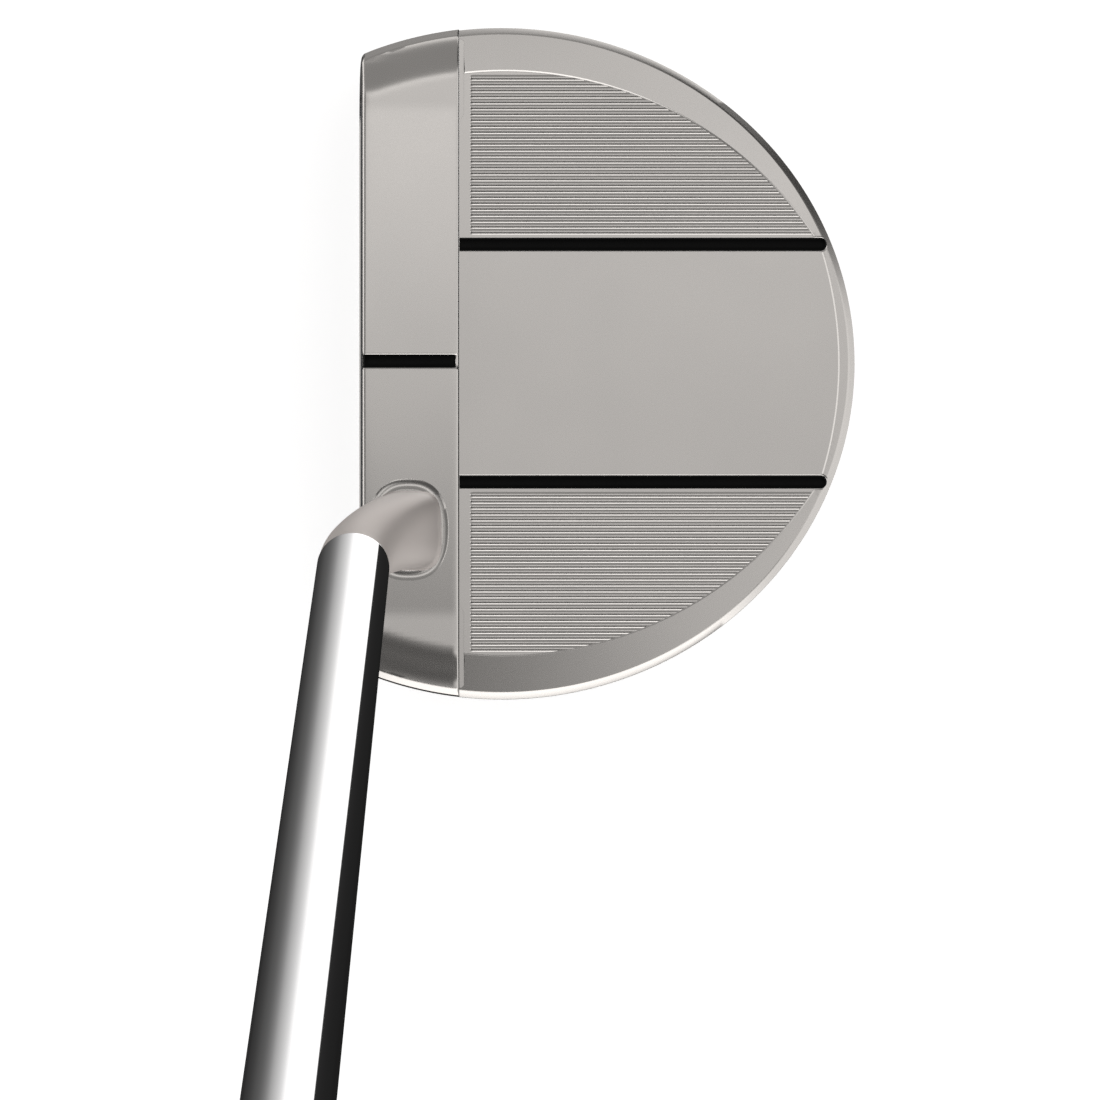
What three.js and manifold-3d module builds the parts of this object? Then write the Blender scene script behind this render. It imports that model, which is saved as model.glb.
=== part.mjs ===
// Mallet putter: a half-round stainless head with a raised front bar, a short bent neck,
// a stepless over-hosel steel shaft and a pistol grip.
//
// Millimetres, +Z up. The face looks along -Y, the toe lies at -X and the heel at +X.
// The origin is the middle of the grip, where two hands hold the club at address.

import * as THREE from 'three';
import { mergeVertices } from 'three/addons/utils/BufferGeometryUtils.js';
import Module from 'manifold-3d';

const wasm = await Module();
wasm.setup();

// ---------------------------------------------------------------- driving dimensions

const CLUB_LENGTH = 864;
const LIE = THREE.MathUtils.degToRad(70);
const LOFT = THREE.MathUtils.degToRad(3.5);
const GAP = 0.3;

// Head outline, seen from above: an ellipse cut off straight by the face.
const HEAD_HALF_WIDTH = 51.3;
const HEAD_HALF_DEPTH = 53.9;
const HEAD_CENTRE_Y = 22.45;
const OUTLINE_SEGMENTS = 88;

// Heights above the ground.
const RIM_TOP = 19.2;
const PLATE_TOP = 18.9;
const POCKET_FLOOR = 18.55;
const BAR_TOP = 26;
const BAR_END_TOP = 22.6;
const BAR_CROWN = 0.5;
const BAR_BACK_Y = 16;
const BAR_DIP_START = 36.5;
const BAR_DIP_END = 47;

// Shallow pocket of the flange: a side arc each way and a back arc, behind the bar.
const POCKET_SIDE_RADIUS = 56.66;
const POCKET_SIDE_CENTRE = [12.2, 22.84];
const POCKET_BACK_RADIUS = 57.6;
const POCKET_BACK_CENTRE_Y = 16.1;

// Milled ribs of the two panels.
const RIB_COUNT = 27;
const RIB_PITCH = 0.9;
const RIB_FIRST_X = 20;
const RIB_FRONT_Y = 17.7;
const RIB_HALF_FOOT = 0.42;
const RIB_HALF_CREST = 0.2;

// Sight lines: painted grooves.
const LINE_WIDTH = 2.1;
const LINE_X = 18.05;
const LINE_BACK_Y = 71.9;
const LINE_DEPTH = 1;
const PAINT_THICKNESS = 0.5;
const PAINT_CLEARANCE = 0.1;

// Face insert.
const INSERT_WIDTH = 82;
const INSERT_HEIGHT = 16;
const INSERT_MIDDLE_Z = 11.5;
const INSERT_THICKNESS = 2.6;
const INSERT_RECESS = 0.1;
const BOND_THICKNESS = 0.4;
const INSERT_GROOVES = 9;
const INSERT_GROOVE_PITCH = 1.6;
const INSERT_GROOVE_DEPTH = 0.4;
const INSERT_GROOVE_WIDTH = 0.6;

// Badge under the sole and the tape that holds it.
const BADGE_THICKNESS = 0.7;
const TAPE_THICKNESS = 0.3;
const BADGE_Y = 34;

// Hollow of the head and the plate that closes it.
const CAVITY_ROOF = 17.2;
const CAVITY_FRONT_Y = 18.5;
const PLATE_INSET = 9;
const PLATE_THICKNESS = 2.5;
const PLATE_FRONT_Y = 12;

// Sole weights.
const WEIGHT_X = 27;
const WEIGHT_Y = 41;
const WEIGHT_HEAD_RADIUS = 7.8;
const WEIGHT_HEAD_LOW = 0.2;
const WEIGHT_HEAD_HIGH = 2.6;
const WEIGHT_SHANK_RADIUS = 2.7;
const WEIGHT_SHANK_TOP = 11.9;
const WEIGHT_KEY_ACROSS_FLATS = 4;
const WEIGHT_KEY_DEPTH = 2;
const WASHER_LOW = 2.75;
const WASHER_HIGH = 3.35;
const PAD_TOP = 5.6;
const PAD_RADIUS = 9.6;
const COUNTERBORE_TOP = 3.6;

// Neck and shaft.
const NECK_FOOT = new THREE.Vector3(25.4, 8.46, 26.1);
const NECK_RADIUS = 5;
const NECK_FOOT_HALF_X = 6.3;
const NECK_FOOT_HALF_Y = 5.6;
const FOOT_GROOVE_OUTER = 1.2;
const FOOT_GROOVE_DEPTH = 0.75;
const SPIGOT_RADIUS = 4;
const SPIGOT_DEPTH = 5.5;
const SHAFT_START = new THREE.Vector3(30.7, 1.84, 62);
const SHAFT_TIP_RADIUS = 5.15;
const SHAFT_BUTT_RADIUS = 7.6;
const SHAFT_WALL = 0.6;
const SHAFT_PARALLEL = 230;
const POST_RADIUS = 3.7;
const POST_LENGTH = 26;

// Grip, measured along the shaft from its lower end.
const GRIP_LENGTH = 267;
const CAP_THICKNESS = 3;
const HOLD_FROM_BUTT = 110;

// ---------------------------------------------------------------- derived sizes

const SHAFT_DIRECTION = new THREE.Vector3(Math.cos(LIE), 0, Math.sin(LIE));
const BUTT_Z = CLUB_LENGTH - SHAFT_START.z / Math.sin(LIE);
const SHAFT_TOP = BUTT_Z - CAP_THICKNESS - GAP;
const GRIP_BOTTOM = BUTT_Z - GRIP_LENGTH;
const GRIP_TOP = BUTT_Z - CAP_THICKNESS - GAP;
const HOLD_POINT = SHAFT_START.clone().addScaledVector(SHAFT_DIRECTION, BUTT_Z - HOLD_FROM_BUTT);

// ---------------------------------------------------------------- solids and booleans

const place = (x, y, z) => new THREE.Matrix4().makeTranslation(x, y, z);

/** Welds a closed geometry and turns it into a solid for joining and cutting. */
function solid(geometry, matrix = new THREE.Matrix4()) {
  const bare = geometry.clone().applyMatrix4(matrix);
  for (const name of Object.keys(bare.attributes)) {
    if (name !== 'position') {
      bare.deleteAttribute(name);
    }
  }
  const merged = mergeVertices(bare, 1e-4);
  const corners = merged.index.array;
  const kept = [];
  for (let i = 0; i < corners.length; i += 3) {
    const [a, b, c] = [corners[i], corners[i + 1], corners[i + 2]];
    if (a !== b && b !== c && c !== a) {
      kept.push(a, b, c);
    }
  }
  return new wasm.Manifold(new wasm.Mesh({
    numProp: 3,
    vertProperties: new Float32Array(merged.attributes.position.array),
    triVerts: new Uint32Array(kept),
  }));
}

function geometryOf(body) {
  const mesh = body.getMesh();
  const geometry = new THREE.BufferGeometry();
  geometry.setAttribute('position', new THREE.BufferAttribute(new Float32Array(mesh.vertProperties), 3));
  geometry.setIndex(new THREE.BufferAttribute(new Uint32Array(mesh.triVerts), 1));
  geometry.computeVertexNormals();
  return geometry;
}

const cut = (body, ...tools) => tools.reduce((rest, tool) => rest.subtract(tool), body);
const join = (...bodies) => bodies.reduce((sum, body) => sum.add(body));
const common = (...bodies) => bodies.reduce((sum, body) => sum.intersect(body));

function box(low, high) {
  const size = high.map((value, i) => value - low[i]);
  const middle = high.map((value, i) => (value + low[i]) / 2);
  return solid(new THREE.BoxGeometry(...size), place(...middle));
}

function upright(radius, low, high, x = 0, y = 0, segments = 32) {
  const geometry = new THREE.CylinderGeometry(radius, radius, high - low, segments);
  geometry.rotateX(Math.PI / 2);
  return solid(geometry, place(x, y, (low + high) / 2));
}

/** Turns a profile of [radius, height] points about +Z. */
function turned(profile, segments = 32) {
  const points = profile.map(([radius, height]) => new THREE.Vector2(radius, height));
  const geometry = new THREE.LatheGeometry(points, segments);
  geometry.rotateX(Math.PI / 2);
  return geometry;
}

/** A turned ring: its profile closes on itself. */
const ring = (profile, segments) => turned([...profile, profile[0]], segments);

/** Extrudes a shape drawn in x and z along y, from frontY to backY. */
function alongY(shape, frontY, backY) {
  const geometry = new THREE.ExtrudeGeometry(shape, { depth: backY - frontY, bevelEnabled: false });
  geometry.rotateX(Math.PI / 2);
  geometry.translate(0, backY, 0);
  return solid(geometry);
}

/** Extrudes a shape drawn in x and y upwards, from low to high. */
function upwards(shape, low, high) {
  const geometry = new THREE.ExtrudeGeometry(shape, {
    depth: high - low,
    bevelEnabled: false,
    curveSegments: 6,
  });
  geometry.translate(0, 0, low);
  return solid(geometry);
}

function roundedRectangle(width, height, radius) {
  const shape = new THREE.Shape();
  const [w, h] = [width / 2 - radius, height / 2 - radius];
  shape.absarc(w, h, radius, 0, Math.PI / 2);
  shape.absarc(-w, h, radius, Math.PI / 2, Math.PI);
  shape.absarc(-w, -h, radius, Math.PI, 1.5 * Math.PI);
  shape.absarc(w, -h, radius, 1.5 * Math.PI, 2 * Math.PI);
  return shape;
}

// ---------------------------------------------------------------- head

/** A body of the head's plan, from [inset, height] pairs, lowest first. */
function headLoft(profile) {
  const outer = profile.map(([inset, height]) => [HEAD_HALF_WIDTH - inset, height]);
  const closed = [[0, outer[0][1]], ...outer, [0, outer[outer.length - 1][1]]];
  const matrix = place(0, HEAD_CENTRE_Y, 0);
  matrix.scale(new THREE.Vector3(1, HEAD_HALF_DEPTH / HEAD_HALF_WIDTH, 1));
  return solid(turned(closed, OUTLINE_SEGMENTS), matrix);
}

/** Height of the bar's top, which falls in an S towards the toe and the heel. */
function barTop(x) {
  const along = THREE.MathUtils.clamp((Math.abs(x) - BAR_DIP_START) / (BAR_DIP_END - BAR_DIP_START), 0, 1);
  const dip = along * along * (3 - 2 * along);
  const crowned = BAR_TOP - BAR_CROWN * (Math.min(Math.abs(x), BAR_DIP_START) / BAR_DIP_START) ** 2;
  return THREE.MathUtils.lerp(crowned, BAR_END_TOP, dip);
}

function makeBar() {
  const shape = new THREE.Shape();
  const reach = HEAD_HALF_WIDTH + 2;
  const steps = 44;
  shape.moveTo(-reach, 1);
  shape.lineTo(reach, 1);
  for (let i = 0; i <= steps; i += 1) {
    const x = reach - (2 * reach * i) / steps;
    shape.lineTo(x, barTop(x));
  }
  const wall = headLoft([[7.5, 0], [2.2, 3], [0.2, 9.5], [0, 13], [0.4, BAR_TOP + 2]]);
  return common(alongY(shape, -3, BAR_BACK_Y), wall);
}

/** The half-round plan of the pocket behind the bar, between two heights. */
function pocket(low, high, inset = 0) {
  const [sideX, sideY] = POCKET_SIDE_CENTRE;
  const side = POCKET_SIDE_RADIUS - inset;
  return common(
    upright(side, low, high, sideX, sideY, OUTLINE_SEGMENTS),
    upright(side, low, high, -sideX, sideY, OUTLINE_SEGMENTS),
    upright(POCKET_BACK_RADIUS - inset, low, high, 0, POCKET_BACK_CENTRE_Y, OUTLINE_SEGMENTS),
    box([-HEAD_HALF_WIDTH, BAR_BACK_Y - 1, low - 1], [HEAD_HALF_WIDTH, 90, high + 1]),
  );
}

/** The ribs of one panel, standing on the pocket's floor; side is -1 at the toe and 1 at the heel. */
function makeRibs(side) {
  const shape = new THREE.Shape();
  const base = POCKET_FLOOR - 0.3;
  const last = RIB_FIRST_X + (RIB_COUNT - 1) * RIB_PITCH;
  shape.moveTo(RIB_FIRST_X - RIB_HALF_FOOT, base);
  shape.lineTo(last + RIB_HALF_FOOT, base);
  for (let i = RIB_COUNT - 1; i >= 0; i -= 1) {
    const x = RIB_FIRST_X + i * RIB_PITCH;
    shape.lineTo(x + RIB_HALF_FOOT, POCKET_FLOOR + 0.02);
    shape.lineTo(x + RIB_HALF_CREST, PLATE_TOP);
    shape.lineTo(x - RIB_HALF_CREST, PLATE_TOP);
    shape.lineTo(x - RIB_HALF_FOOT, POCKET_FLOOR + 0.02);
  }
  const ribs = common(alongY(shape, RIB_FRONT_Y, 90), pocket(base - 1, RIM_TOP, 0.25));
  return side > 0 ? ribs : ribs.mirror([1, 0, 0]);
}

/** Outline of a flange sight line: square at the bar, round at the back. */
function lineShape(x, width) {
  const shape = new THREE.Shape();
  const half = width / 2;
  shape.moveTo(x - half, BAR_BACK_Y + GAP);
  shape.lineTo(x + half, BAR_BACK_Y + GAP);
  shape.absarc(x, LINE_BACK_Y - half, half, 0, Math.PI);
  return shape;
}

const lineGroove = (x) => upwards(lineShape(x, LINE_WIDTH), PLATE_TOP - LINE_DEPTH, RIM_TOP + 1);

const linePaint = (x) => upwards(
  lineShape(x, LINE_WIDTH - 2 * PAINT_CLEARANCE),
  PLATE_TOP - LINE_DEPTH + PAINT_CLEARANCE,
  PLATE_TOP - LINE_DEPTH + PAINT_CLEARANCE + PAINT_THICKNESS,
);

/** Shallow groove that runs round the neck's foot in the bar's top. */
function makeFootGroove() {
  const matrix = place(NECK_FOOT.x, NECK_FOOT.y, 0);
  matrix.scale(new THREE.Vector3(NECK_FOOT_HALF_X, NECK_FOOT_HALF_Y, 1));
  const outer = FOOT_GROOVE_OUTER;
  const low = BAR_TOP - FOOT_GROOVE_DEPTH;
  return solid(ring([[1.02, low], [outer - 0.08, low], [outer, 40], [1.02, 40]], 40), matrix);
}

/** The single line across the bar, or its paint when inset is above zero. */
function barLine(inset, low, high) {
  const half = LINE_WIDTH / 2 - inset;
  return box([-half, 2.2 + inset, low], [half, BAR_BACK_Y - inset, high]);
}

const WEIGHT_SIDES = [-1, 1];
const weightAt = (side) => [side * WEIGHT_X, WEIGHT_Y];

/** The hollow behind the bar and two smaller ones inside it, with the two weight bosses left. */
function makeCavity() {
  const main = common(
    headLoft([[10.4, 2], [10.4, 3.6], [5.5, 6.5], [2.6, 10], [2.6, CAVITY_ROOF]]),
    box([-60, CAVITY_FRONT_Y, 0], [60, 90, 30]),
  );
  const toeSide = box([-39, 8, 4.5], [16, CAVITY_FRONT_Y + 1, 21.5]);
  const heelSide = box([17.5, 8, 4.5], [39, CAVITY_FRONT_Y + 1, CAVITY_ROOF]);
  const bosses = WEIGHT_SIDES.map((side) => upright(5.5, PAD_TOP + GAP, 30, ...weightAt(side)));
  return cut(join(main, toeSide, heelSide), ...bosses);
}

/** Plan of the sole plate, grown by a margin for its seat. */
function solePlan(low, high, margin) {
  return common(
    headLoft([[PLATE_INSET - margin, low], [PLATE_INSET - margin, high]]),
    box([-60, PLATE_FRONT_Y - margin, low - 1], [60, 90, high + 1]),
  );
}

const onFace = new THREE.Matrix4().makeRotationX(-LOFT);

/** A rounded slab laid in the face: depth is measured into the head from the face plane. */
function faceSlab(margin, front, back) {
  const outline = roundedRectangle(INSERT_WIDTH + 2 * margin, INSERT_HEIGHT + 2 * margin, 5 + margin);
  const geometry = new THREE.ExtrudeGeometry(outline, { depth: back - front, bevelEnabled: false, curveSegments: 6 });
  geometry.rotateX(Math.PI / 2);
  geometry.translate(0, back, INSERT_MIDDLE_Z);
  return solid(geometry, onFace);
}

function makeHead() {
  const flange = headLoft([
    [7.5, 0],
    [4.2, 1],
    [2.2, 3],
    [0.9, 6],
    [0.2, 9.5],
    [0, 13],
    [0.15, 16.6],
    [0.5, 18.3],
    [1.25, RIM_TOP],
  ]);
  const front = solid(new THREE.BoxGeometry(140, 40, 90), place(0, -20, 0).premultiply(onFace));
  const plate = common(
    box([-LINE_X, BAR_BACK_Y - 1, POCKET_FLOOR - 1], [LINE_X, 80, PLATE_TOP]),
    pocket(0, 40, 0.15),
  );
  const threads = WEIGHT_SIDES.map((side) => upright(WEIGHT_SHANK_RADIUS + GAP, 3, 13, ...weightAt(side)));
  const padSeats = WEIGHT_SIDES.map((side) => upright(PAD_RADIUS + GAP, 1, PAD_TOP + GAP, ...weightAt(side)));
  const insertDepth = INSERT_RECESS + INSERT_THICKNESS + BOND_THICKNESS + 3 * GAP;
  const blank = cut(
    join(cut(flange, pocket(POCKET_FLOOR, 40)), plate, makeRibs(-1), makeRibs(1), makeBar()),
    front,
    makeCavity(),
    solePlan(-1, PLATE_THICKNESS + GAP, GAP),
    ...padSeats,
    ...threads,
  );
  return cut(
    blank,
    faceSlab(GAP, -1, insertDepth),
    upright(SPIGOT_RADIUS + GAP, NECK_FOOT.z - SPIGOT_DEPTH - GAP, 40, NECK_FOOT.x, NECK_FOOT.y),
    makeFootGroove(),
    lineGroove(-LINE_X),
    lineGroove(LINE_X),
    barLine(0, BAR_TOP - 0.8, 40),
  );
}

function makeInsert() {
  const grooves = [];
  for (let i = 0; i < INSERT_GROOVES; i += 1) {
    const z = INSERT_MIDDLE_Z + (i - (INSERT_GROOVES - 1) / 2) * INSERT_GROOVE_PITCH;
    const half = INSERT_WIDTH / 2 - 6;
    const groove = new THREE.BoxGeometry(2 * half, 2 * INSERT_GROOVE_DEPTH, INSERT_GROOVE_WIDTH);
    grooves.push(solid(groove, place(0, INSERT_RECESS, z).premultiply(onFace)));
  }
  return cut(faceSlab(0, INSERT_RECESS, INSERT_RECESS + INSERT_THICKNESS), ...grooves);
}

function makeBond() {
  const front = INSERT_RECESS + INSERT_THICKNESS + GAP;
  return faceSlab(-1, front, front + BOND_THICKNESS);
}

function makeSolePlate() {
  const pads = WEIGHT_SIDES.map((side) => upright(PAD_RADIUS, 0, PAD_TOP, ...weightAt(side)));
  const bores = WEIGHT_SIDES.flatMap((side) => [
    upright(WEIGHT_HEAD_RADIUS + GAP, -1, COUNTERBORE_TOP, ...weightAt(side)),
    upright(WEIGHT_SHANK_RADIUS + GAP, -1, PAD_TOP + 1, ...weightAt(side)),
  ]);
  return cut(
    join(solePlan(0, PLATE_THICKNESS, 0), ...pads),
    ...bores,
    badgeSlab(GAP, -1, BADGE_THICKNESS + TAPE_THICKNESS + 2 * GAP),
  );
}

/** The badge's rounded plan on the sole, in the middle of the plate. */
function badgeSlab(margin, low, high) {
  const slab = upwards(roundedRectangle(28 + 2 * margin, 12 + 2 * margin, 6 + margin), low, high);
  return slab.translate([0, BADGE_Y, 0]);
}

const makeBadge = () => badgeSlab(0, 0.1, 0.1 + BADGE_THICKNESS);
const makeBadgeTape = () => badgeSlab(-1, 0.2 + BADGE_THICKNESS, 0.2 + BADGE_THICKNESS + TAPE_THICKNESS);

/** A sole weight screw with its wrench socket underneath, on its own axis. */
function makeWeight() {
  const screw = solid(turned([
    [0, WEIGHT_HEAD_LOW],
    [WEIGHT_HEAD_RADIUS - 0.5, WEIGHT_HEAD_LOW],
    [WEIGHT_HEAD_RADIUS, WEIGHT_HEAD_LOW + 0.5],
    [WEIGHT_HEAD_RADIUS, WEIGHT_HEAD_HIGH],
    [WEIGHT_SHANK_RADIUS, WEIGHT_HEAD_HIGH],
    [WEIGHT_SHANK_RADIUS, WEIGHT_SHANK_TOP - 0.6],
    [WEIGHT_SHANK_RADIUS - 0.6, WEIGHT_SHANK_TOP],
    [0, WEIGHT_SHANK_TOP],
  ]));
  const key = upright(WEIGHT_KEY_ACROSS_FLATS / Math.sqrt(3), -1, WEIGHT_HEAD_LOW + WEIGHT_KEY_DEPTH, 0, 0, 6);
  return cut(screw, key);
}

const makeWasher = () => solid(ring([
  [WEIGHT_SHANK_RADIUS + GAP, WASHER_LOW],
  [WEIGHT_HEAD_RADIUS - 0.6, WASHER_LOW],
  [WEIGHT_HEAD_RADIUS - 0.6, WASHER_HIGH],
  [WEIGHT_SHANK_RADIUS + GAP, WASHER_HIGH],
]));

// ---------------------------------------------------------------- neck

/** Neck: a spigot in the bar, an oval foot, a bent round bar and the shaft's post. */
function makeNeck() {
  const top = SHAFT_START.clone().addScaledVector(SHAFT_DIRECTION, -GAP);
  const path = new THREE.CubicBezierCurve3(
    NECK_FOOT.clone(),
    NECK_FOOT.clone().add(new THREE.Vector3(0, 0, 13)),
    top.clone().addScaledVector(SHAFT_DIRECTION, -15),
    top,
  );
  const section = new THREE.Shape();
  section.absarc(0, 0, NECK_RADIUS, 0, 2 * Math.PI);
  const bend = solid(new THREE.ExtrudeGeometry(section, { steps: 12, curveSegments: 20, extrudePath: path }));
  const spigot = upright(
    SPIGOT_RADIUS,
    NECK_FOOT.z - SPIGOT_DEPTH,
    NECK_FOOT.z + 1,
    NECK_FOOT.x,
    NECK_FOOT.y,
  );
  const flare = [[0, 0], [1, 0], [1, 0.7], [0.93, 1.3], [0.87, 2.2], [0.84, 3.4], [0, 3.4]];
  const footMatrix = place(NECK_FOOT.x, NECK_FOOT.y, NECK_FOOT.z);
  footMatrix.scale(new THREE.Vector3(NECK_FOOT_HALF_X, NECK_FOOT_HALF_Y, 1));
  const foot = solid(turned(flare, 36), footMatrix);
  const postGeometry = new THREE.CylinderGeometry(POST_RADIUS, POST_RADIUS, POST_LENGTH + 3, 20);
  postGeometry.rotateX(Math.PI / 2);
  postGeometry.translate(0, 0, POST_LENGTH / 2 - 1.5);
  return join(bend, spigot, foot, solid(postGeometry, shaftMatrix));
}

// ---------------------------------------------------------------- shaft and grip, on their own axis

const shaftMatrix = new THREE.Matrix4()
  .makeRotationY(Math.PI / 2 - LIE)
  .setPosition(SHAFT_START);

/** Outer radius of the shaft at a height above its lower end. */
function shaftRadius(z) {
  const along = THREE.MathUtils.clamp((z - SHAFT_PARALLEL) / (GRIP_BOTTOM - SHAFT_PARALLEL), 0, 1);
  return THREE.MathUtils.lerp(SHAFT_TIP_RADIUS, SHAFT_BUTT_RADIUS, along);
}

function makeShaft() {
  const heights = [0, SHAFT_PARALLEL, GRIP_BOTTOM, SHAFT_TOP];
  const outside = heights.map((z) => [shaftRadius(z), z]);
  const inside = heights.map((z) => [shaftRadius(z) - SHAFT_WALL, z]).reverse();
  return solid(ring([...outside, ...inside], 40));
}

/** A sleeve about the shaft's axis. */
function sleeve(inner, outer, low, high) {
  return solid(ring([[outer, low], [outer, high], [inner, high], [inner, low]], 32));
}

const makeShaftBond = () => sleeve(POST_RADIUS + GAP, POST_RADIUS + 2 * GAP - 0.05, 1, POST_LENGTH - 1);

const makeTipPlug = () => upright(SHAFT_TIP_RADIUS - SHAFT_WALL - GAP, POST_LENGTH + 1, POST_LENGTH + 11);

const makeGripTape = () => sleeve(
  SHAFT_BUTT_RADIUS + GAP,
  SHAFT_BUTT_RADIUS + 2 * GAP,
  GRIP_BOTTOM + 4,
  GRIP_TOP - 2,
);

/** Pistol grip: a turned body, flattened in front where the thumbs lie. */
function makeGrip() {
  const girth = [
    [0, 10.2],
    [3, 11],
    [60, 11.9],
    [120, 12.6],
    [170, 13.4],
    [205, 14.6],
    [235, 15.2],
    [255, 15],
    [GRIP_LENGTH - CAP_THICKNESS - GAP, 14.4],
  ];
  const bore = SHAFT_BUTT_RADIUS + 3 * GAP;
  const outside = girth.map(([along, radius]) => [radius, GRIP_BOTTOM + along]);
  const body = solid(ring([...outside, [bore, GRIP_TOP], [bore, GRIP_BOTTOM]], 40));
  const flat = new THREE.Matrix4().makeRotationY(-0.006);
  flat.setPosition(-30.2, 0, GRIP_BOTTOM + GRIP_LENGTH / 2);
  const flattener = solid(new THREE.BoxGeometry(40, 60, GRIP_LENGTH + 20), flat);
  return cut(body, flattener);
}

/** End cap: a disc with a stem that plugs the shaft's open end, and a vent hole. */
function makeCap() {
  const low = BUTT_Z - CAP_THICKNESS;
  const stem = SHAFT_BUTT_RADIUS - SHAFT_WALL - GAP;
  return solid(ring([
    [1.2, low - 10],
    [stem, low - 10],
    [stem, low],
    [12.4, low],
    [12.8, low + 1],
    [11.8, BUTT_Z - 0.5],
    [9.5, BUTT_Z],
    [1.2, BUTT_Z],
  ], 40));
}

// ---------------------------------------------------------------- finishes

const finish = (color, roughness, metalness) => ({ color, roughness, metalness });

const FINISH = {
  stainless: finish(0xb6b1ac, 0.38, 1),
  chrome: finish(0xe4e4e4, 0.06, 1),
  paint: finish(0x0b0b0c, 0.3, 0),
  polymer: finish(0x5a5c60, 0.55, 0),
  bond: finish(0xc9b98a, 0.6, 0),
  plate: finish(0x8d8f92, 0.45, 1),
  weight: finish(0xa9a7a4, 0.3, 1),
  washer: finish(0x161616, 0.7, 0),
  badge: finish(0x3a3d42, 0.35, 0),
  tape: finish(0xd8d4c8, 0.8, 0),
  cork: finish(0xb08a5c, 0.9, 0),
  rubber: finish(0x1d1e20, 0.85, 0),
  cap: finish(0x101112, 0.5, 0),
};

// ---------------------------------------------------------------- assembly

/** Adds one named sub-part to a group. */
function addPart(group, name, body, look, x = 0, y = 0) {
  const material = new THREE.MeshStandardMaterial(FINISH[look]);
  const mesh = new THREE.Mesh(geometryOf(body), material);
  mesh.name = name;
  mesh.position.set(x, y, 0);
  group.add(mesh);
}

function makeHeadGroup() {
  const group = new THREE.Group();
  addPart(group, 'head_body', makeHead(), 'stainless');
  addPart(group, 'face_insert', makeInsert(), 'polymer');
  addPart(group, 'insert_bond', makeBond(), 'bond');
  addPart(group, 'bar_sight_line', barLine(PAINT_CLEARANCE, BAR_TOP - 0.7, BAR_TOP - 0.25), 'paint');
  addPart(group, 'toe_sight_line', linePaint(-LINE_X), 'paint');
  addPart(group, 'heel_sight_line', linePaint(LINE_X), 'paint');
  addPart(group, 'sole_plate', makeSolePlate(), 'plate');
  addPart(group, 'sole_badge', makeBadge(), 'badge');
  addPart(group, 'badge_tape', makeBadgeTape(), 'tape');
  for (const side of WEIGHT_SIDES) {
    const end = side < 0 ? 'toe' : 'heel';
    addPart(group, `${end}_weight`, makeWeight(), 'weight', ...weightAt(side));
    addPart(group, `${end}_weight_washer`, makeWasher(), 'washer', ...weightAt(side));
  }
  addPart(group, 'hosel_neck', makeNeck(), 'stainless');
  return group;
}

function makeShaftGroup() {
  const group = new THREE.Group();
  addPart(group, 'shaft', makeShaft(), 'chrome');
  addPart(group, 'shaft_bond', makeShaftBond(), 'bond');
  addPart(group, 'tip_plug', makeTipPlug(), 'cork');
  addPart(group, 'grip_tape', makeGripTape(), 'tape');
  addPart(group, 'grip', makeGrip(), 'rubber');
  addPart(group, 'grip_cap', makeCap(), 'cap');
  group.position.copy(SHAFT_START);
  group.rotation.y = Math.PI / 2 - LIE;
  return group;
}

const putter = new THREE.Group();
putter.add(makeHeadGroup(), makeShaftGroup());
putter.position.copy(HOLD_POINT).negate();

export default putter;
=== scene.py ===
"""Looks of a mallet putter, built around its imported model.

Every class below is one sub-assembly. Its sizes are dataclass fields in millimetres, counted from
the head's own corner: x towards the heel, y from the face to the back, z up from the ground.
"""

import logging
import math
from dataclasses import dataclass, field
from enum import Enum
from typing import Callable, Iterable, Sequence

import bmesh
import bpy
from mathutils import Matrix, Vector


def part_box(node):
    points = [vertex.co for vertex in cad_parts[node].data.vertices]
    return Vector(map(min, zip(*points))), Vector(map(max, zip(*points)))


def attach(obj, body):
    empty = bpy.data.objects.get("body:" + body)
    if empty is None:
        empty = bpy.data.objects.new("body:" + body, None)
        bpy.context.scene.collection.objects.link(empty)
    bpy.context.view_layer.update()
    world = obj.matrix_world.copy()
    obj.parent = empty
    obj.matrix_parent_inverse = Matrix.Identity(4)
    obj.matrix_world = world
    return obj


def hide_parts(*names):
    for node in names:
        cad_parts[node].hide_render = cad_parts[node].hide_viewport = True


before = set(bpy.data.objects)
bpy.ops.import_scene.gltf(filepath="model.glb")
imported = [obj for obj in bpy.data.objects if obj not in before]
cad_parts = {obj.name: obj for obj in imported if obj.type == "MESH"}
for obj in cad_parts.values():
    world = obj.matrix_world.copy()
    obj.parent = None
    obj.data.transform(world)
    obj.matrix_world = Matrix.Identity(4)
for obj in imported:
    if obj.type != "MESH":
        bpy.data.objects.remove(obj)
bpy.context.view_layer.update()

LOG = logging.getLogger("putter")
MM = 0.001
CLUB = "club"

Ring = list[Vector]
Plan = list[tuple[float, float]]
Pairs = Sequence[tuple[float, float]]
Steps = tuple[tuple[float, float], ...]
Socket = bpy.types.NodeSocket


# --------------------------------------------------------------------------- meshes


def smoothstep(low: float, high: float, value: float) -> float:
    """Eases from 0 at low to 1 at high.

    Args:
        low: Value where the ease starts.
        high: Value where it ends.
        value: Value to ease.

    Returns:
        A number from 0 to 1.
    """
    along = min(max((value - low) / (high - low), 0.0), 1.0)
    return along * along * (3 - 2 * along)


def lerp(start: float, end: float, along: float) -> float:
    """Returns the value at a share of the way from start to end."""
    return start + (end - start) * along


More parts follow.
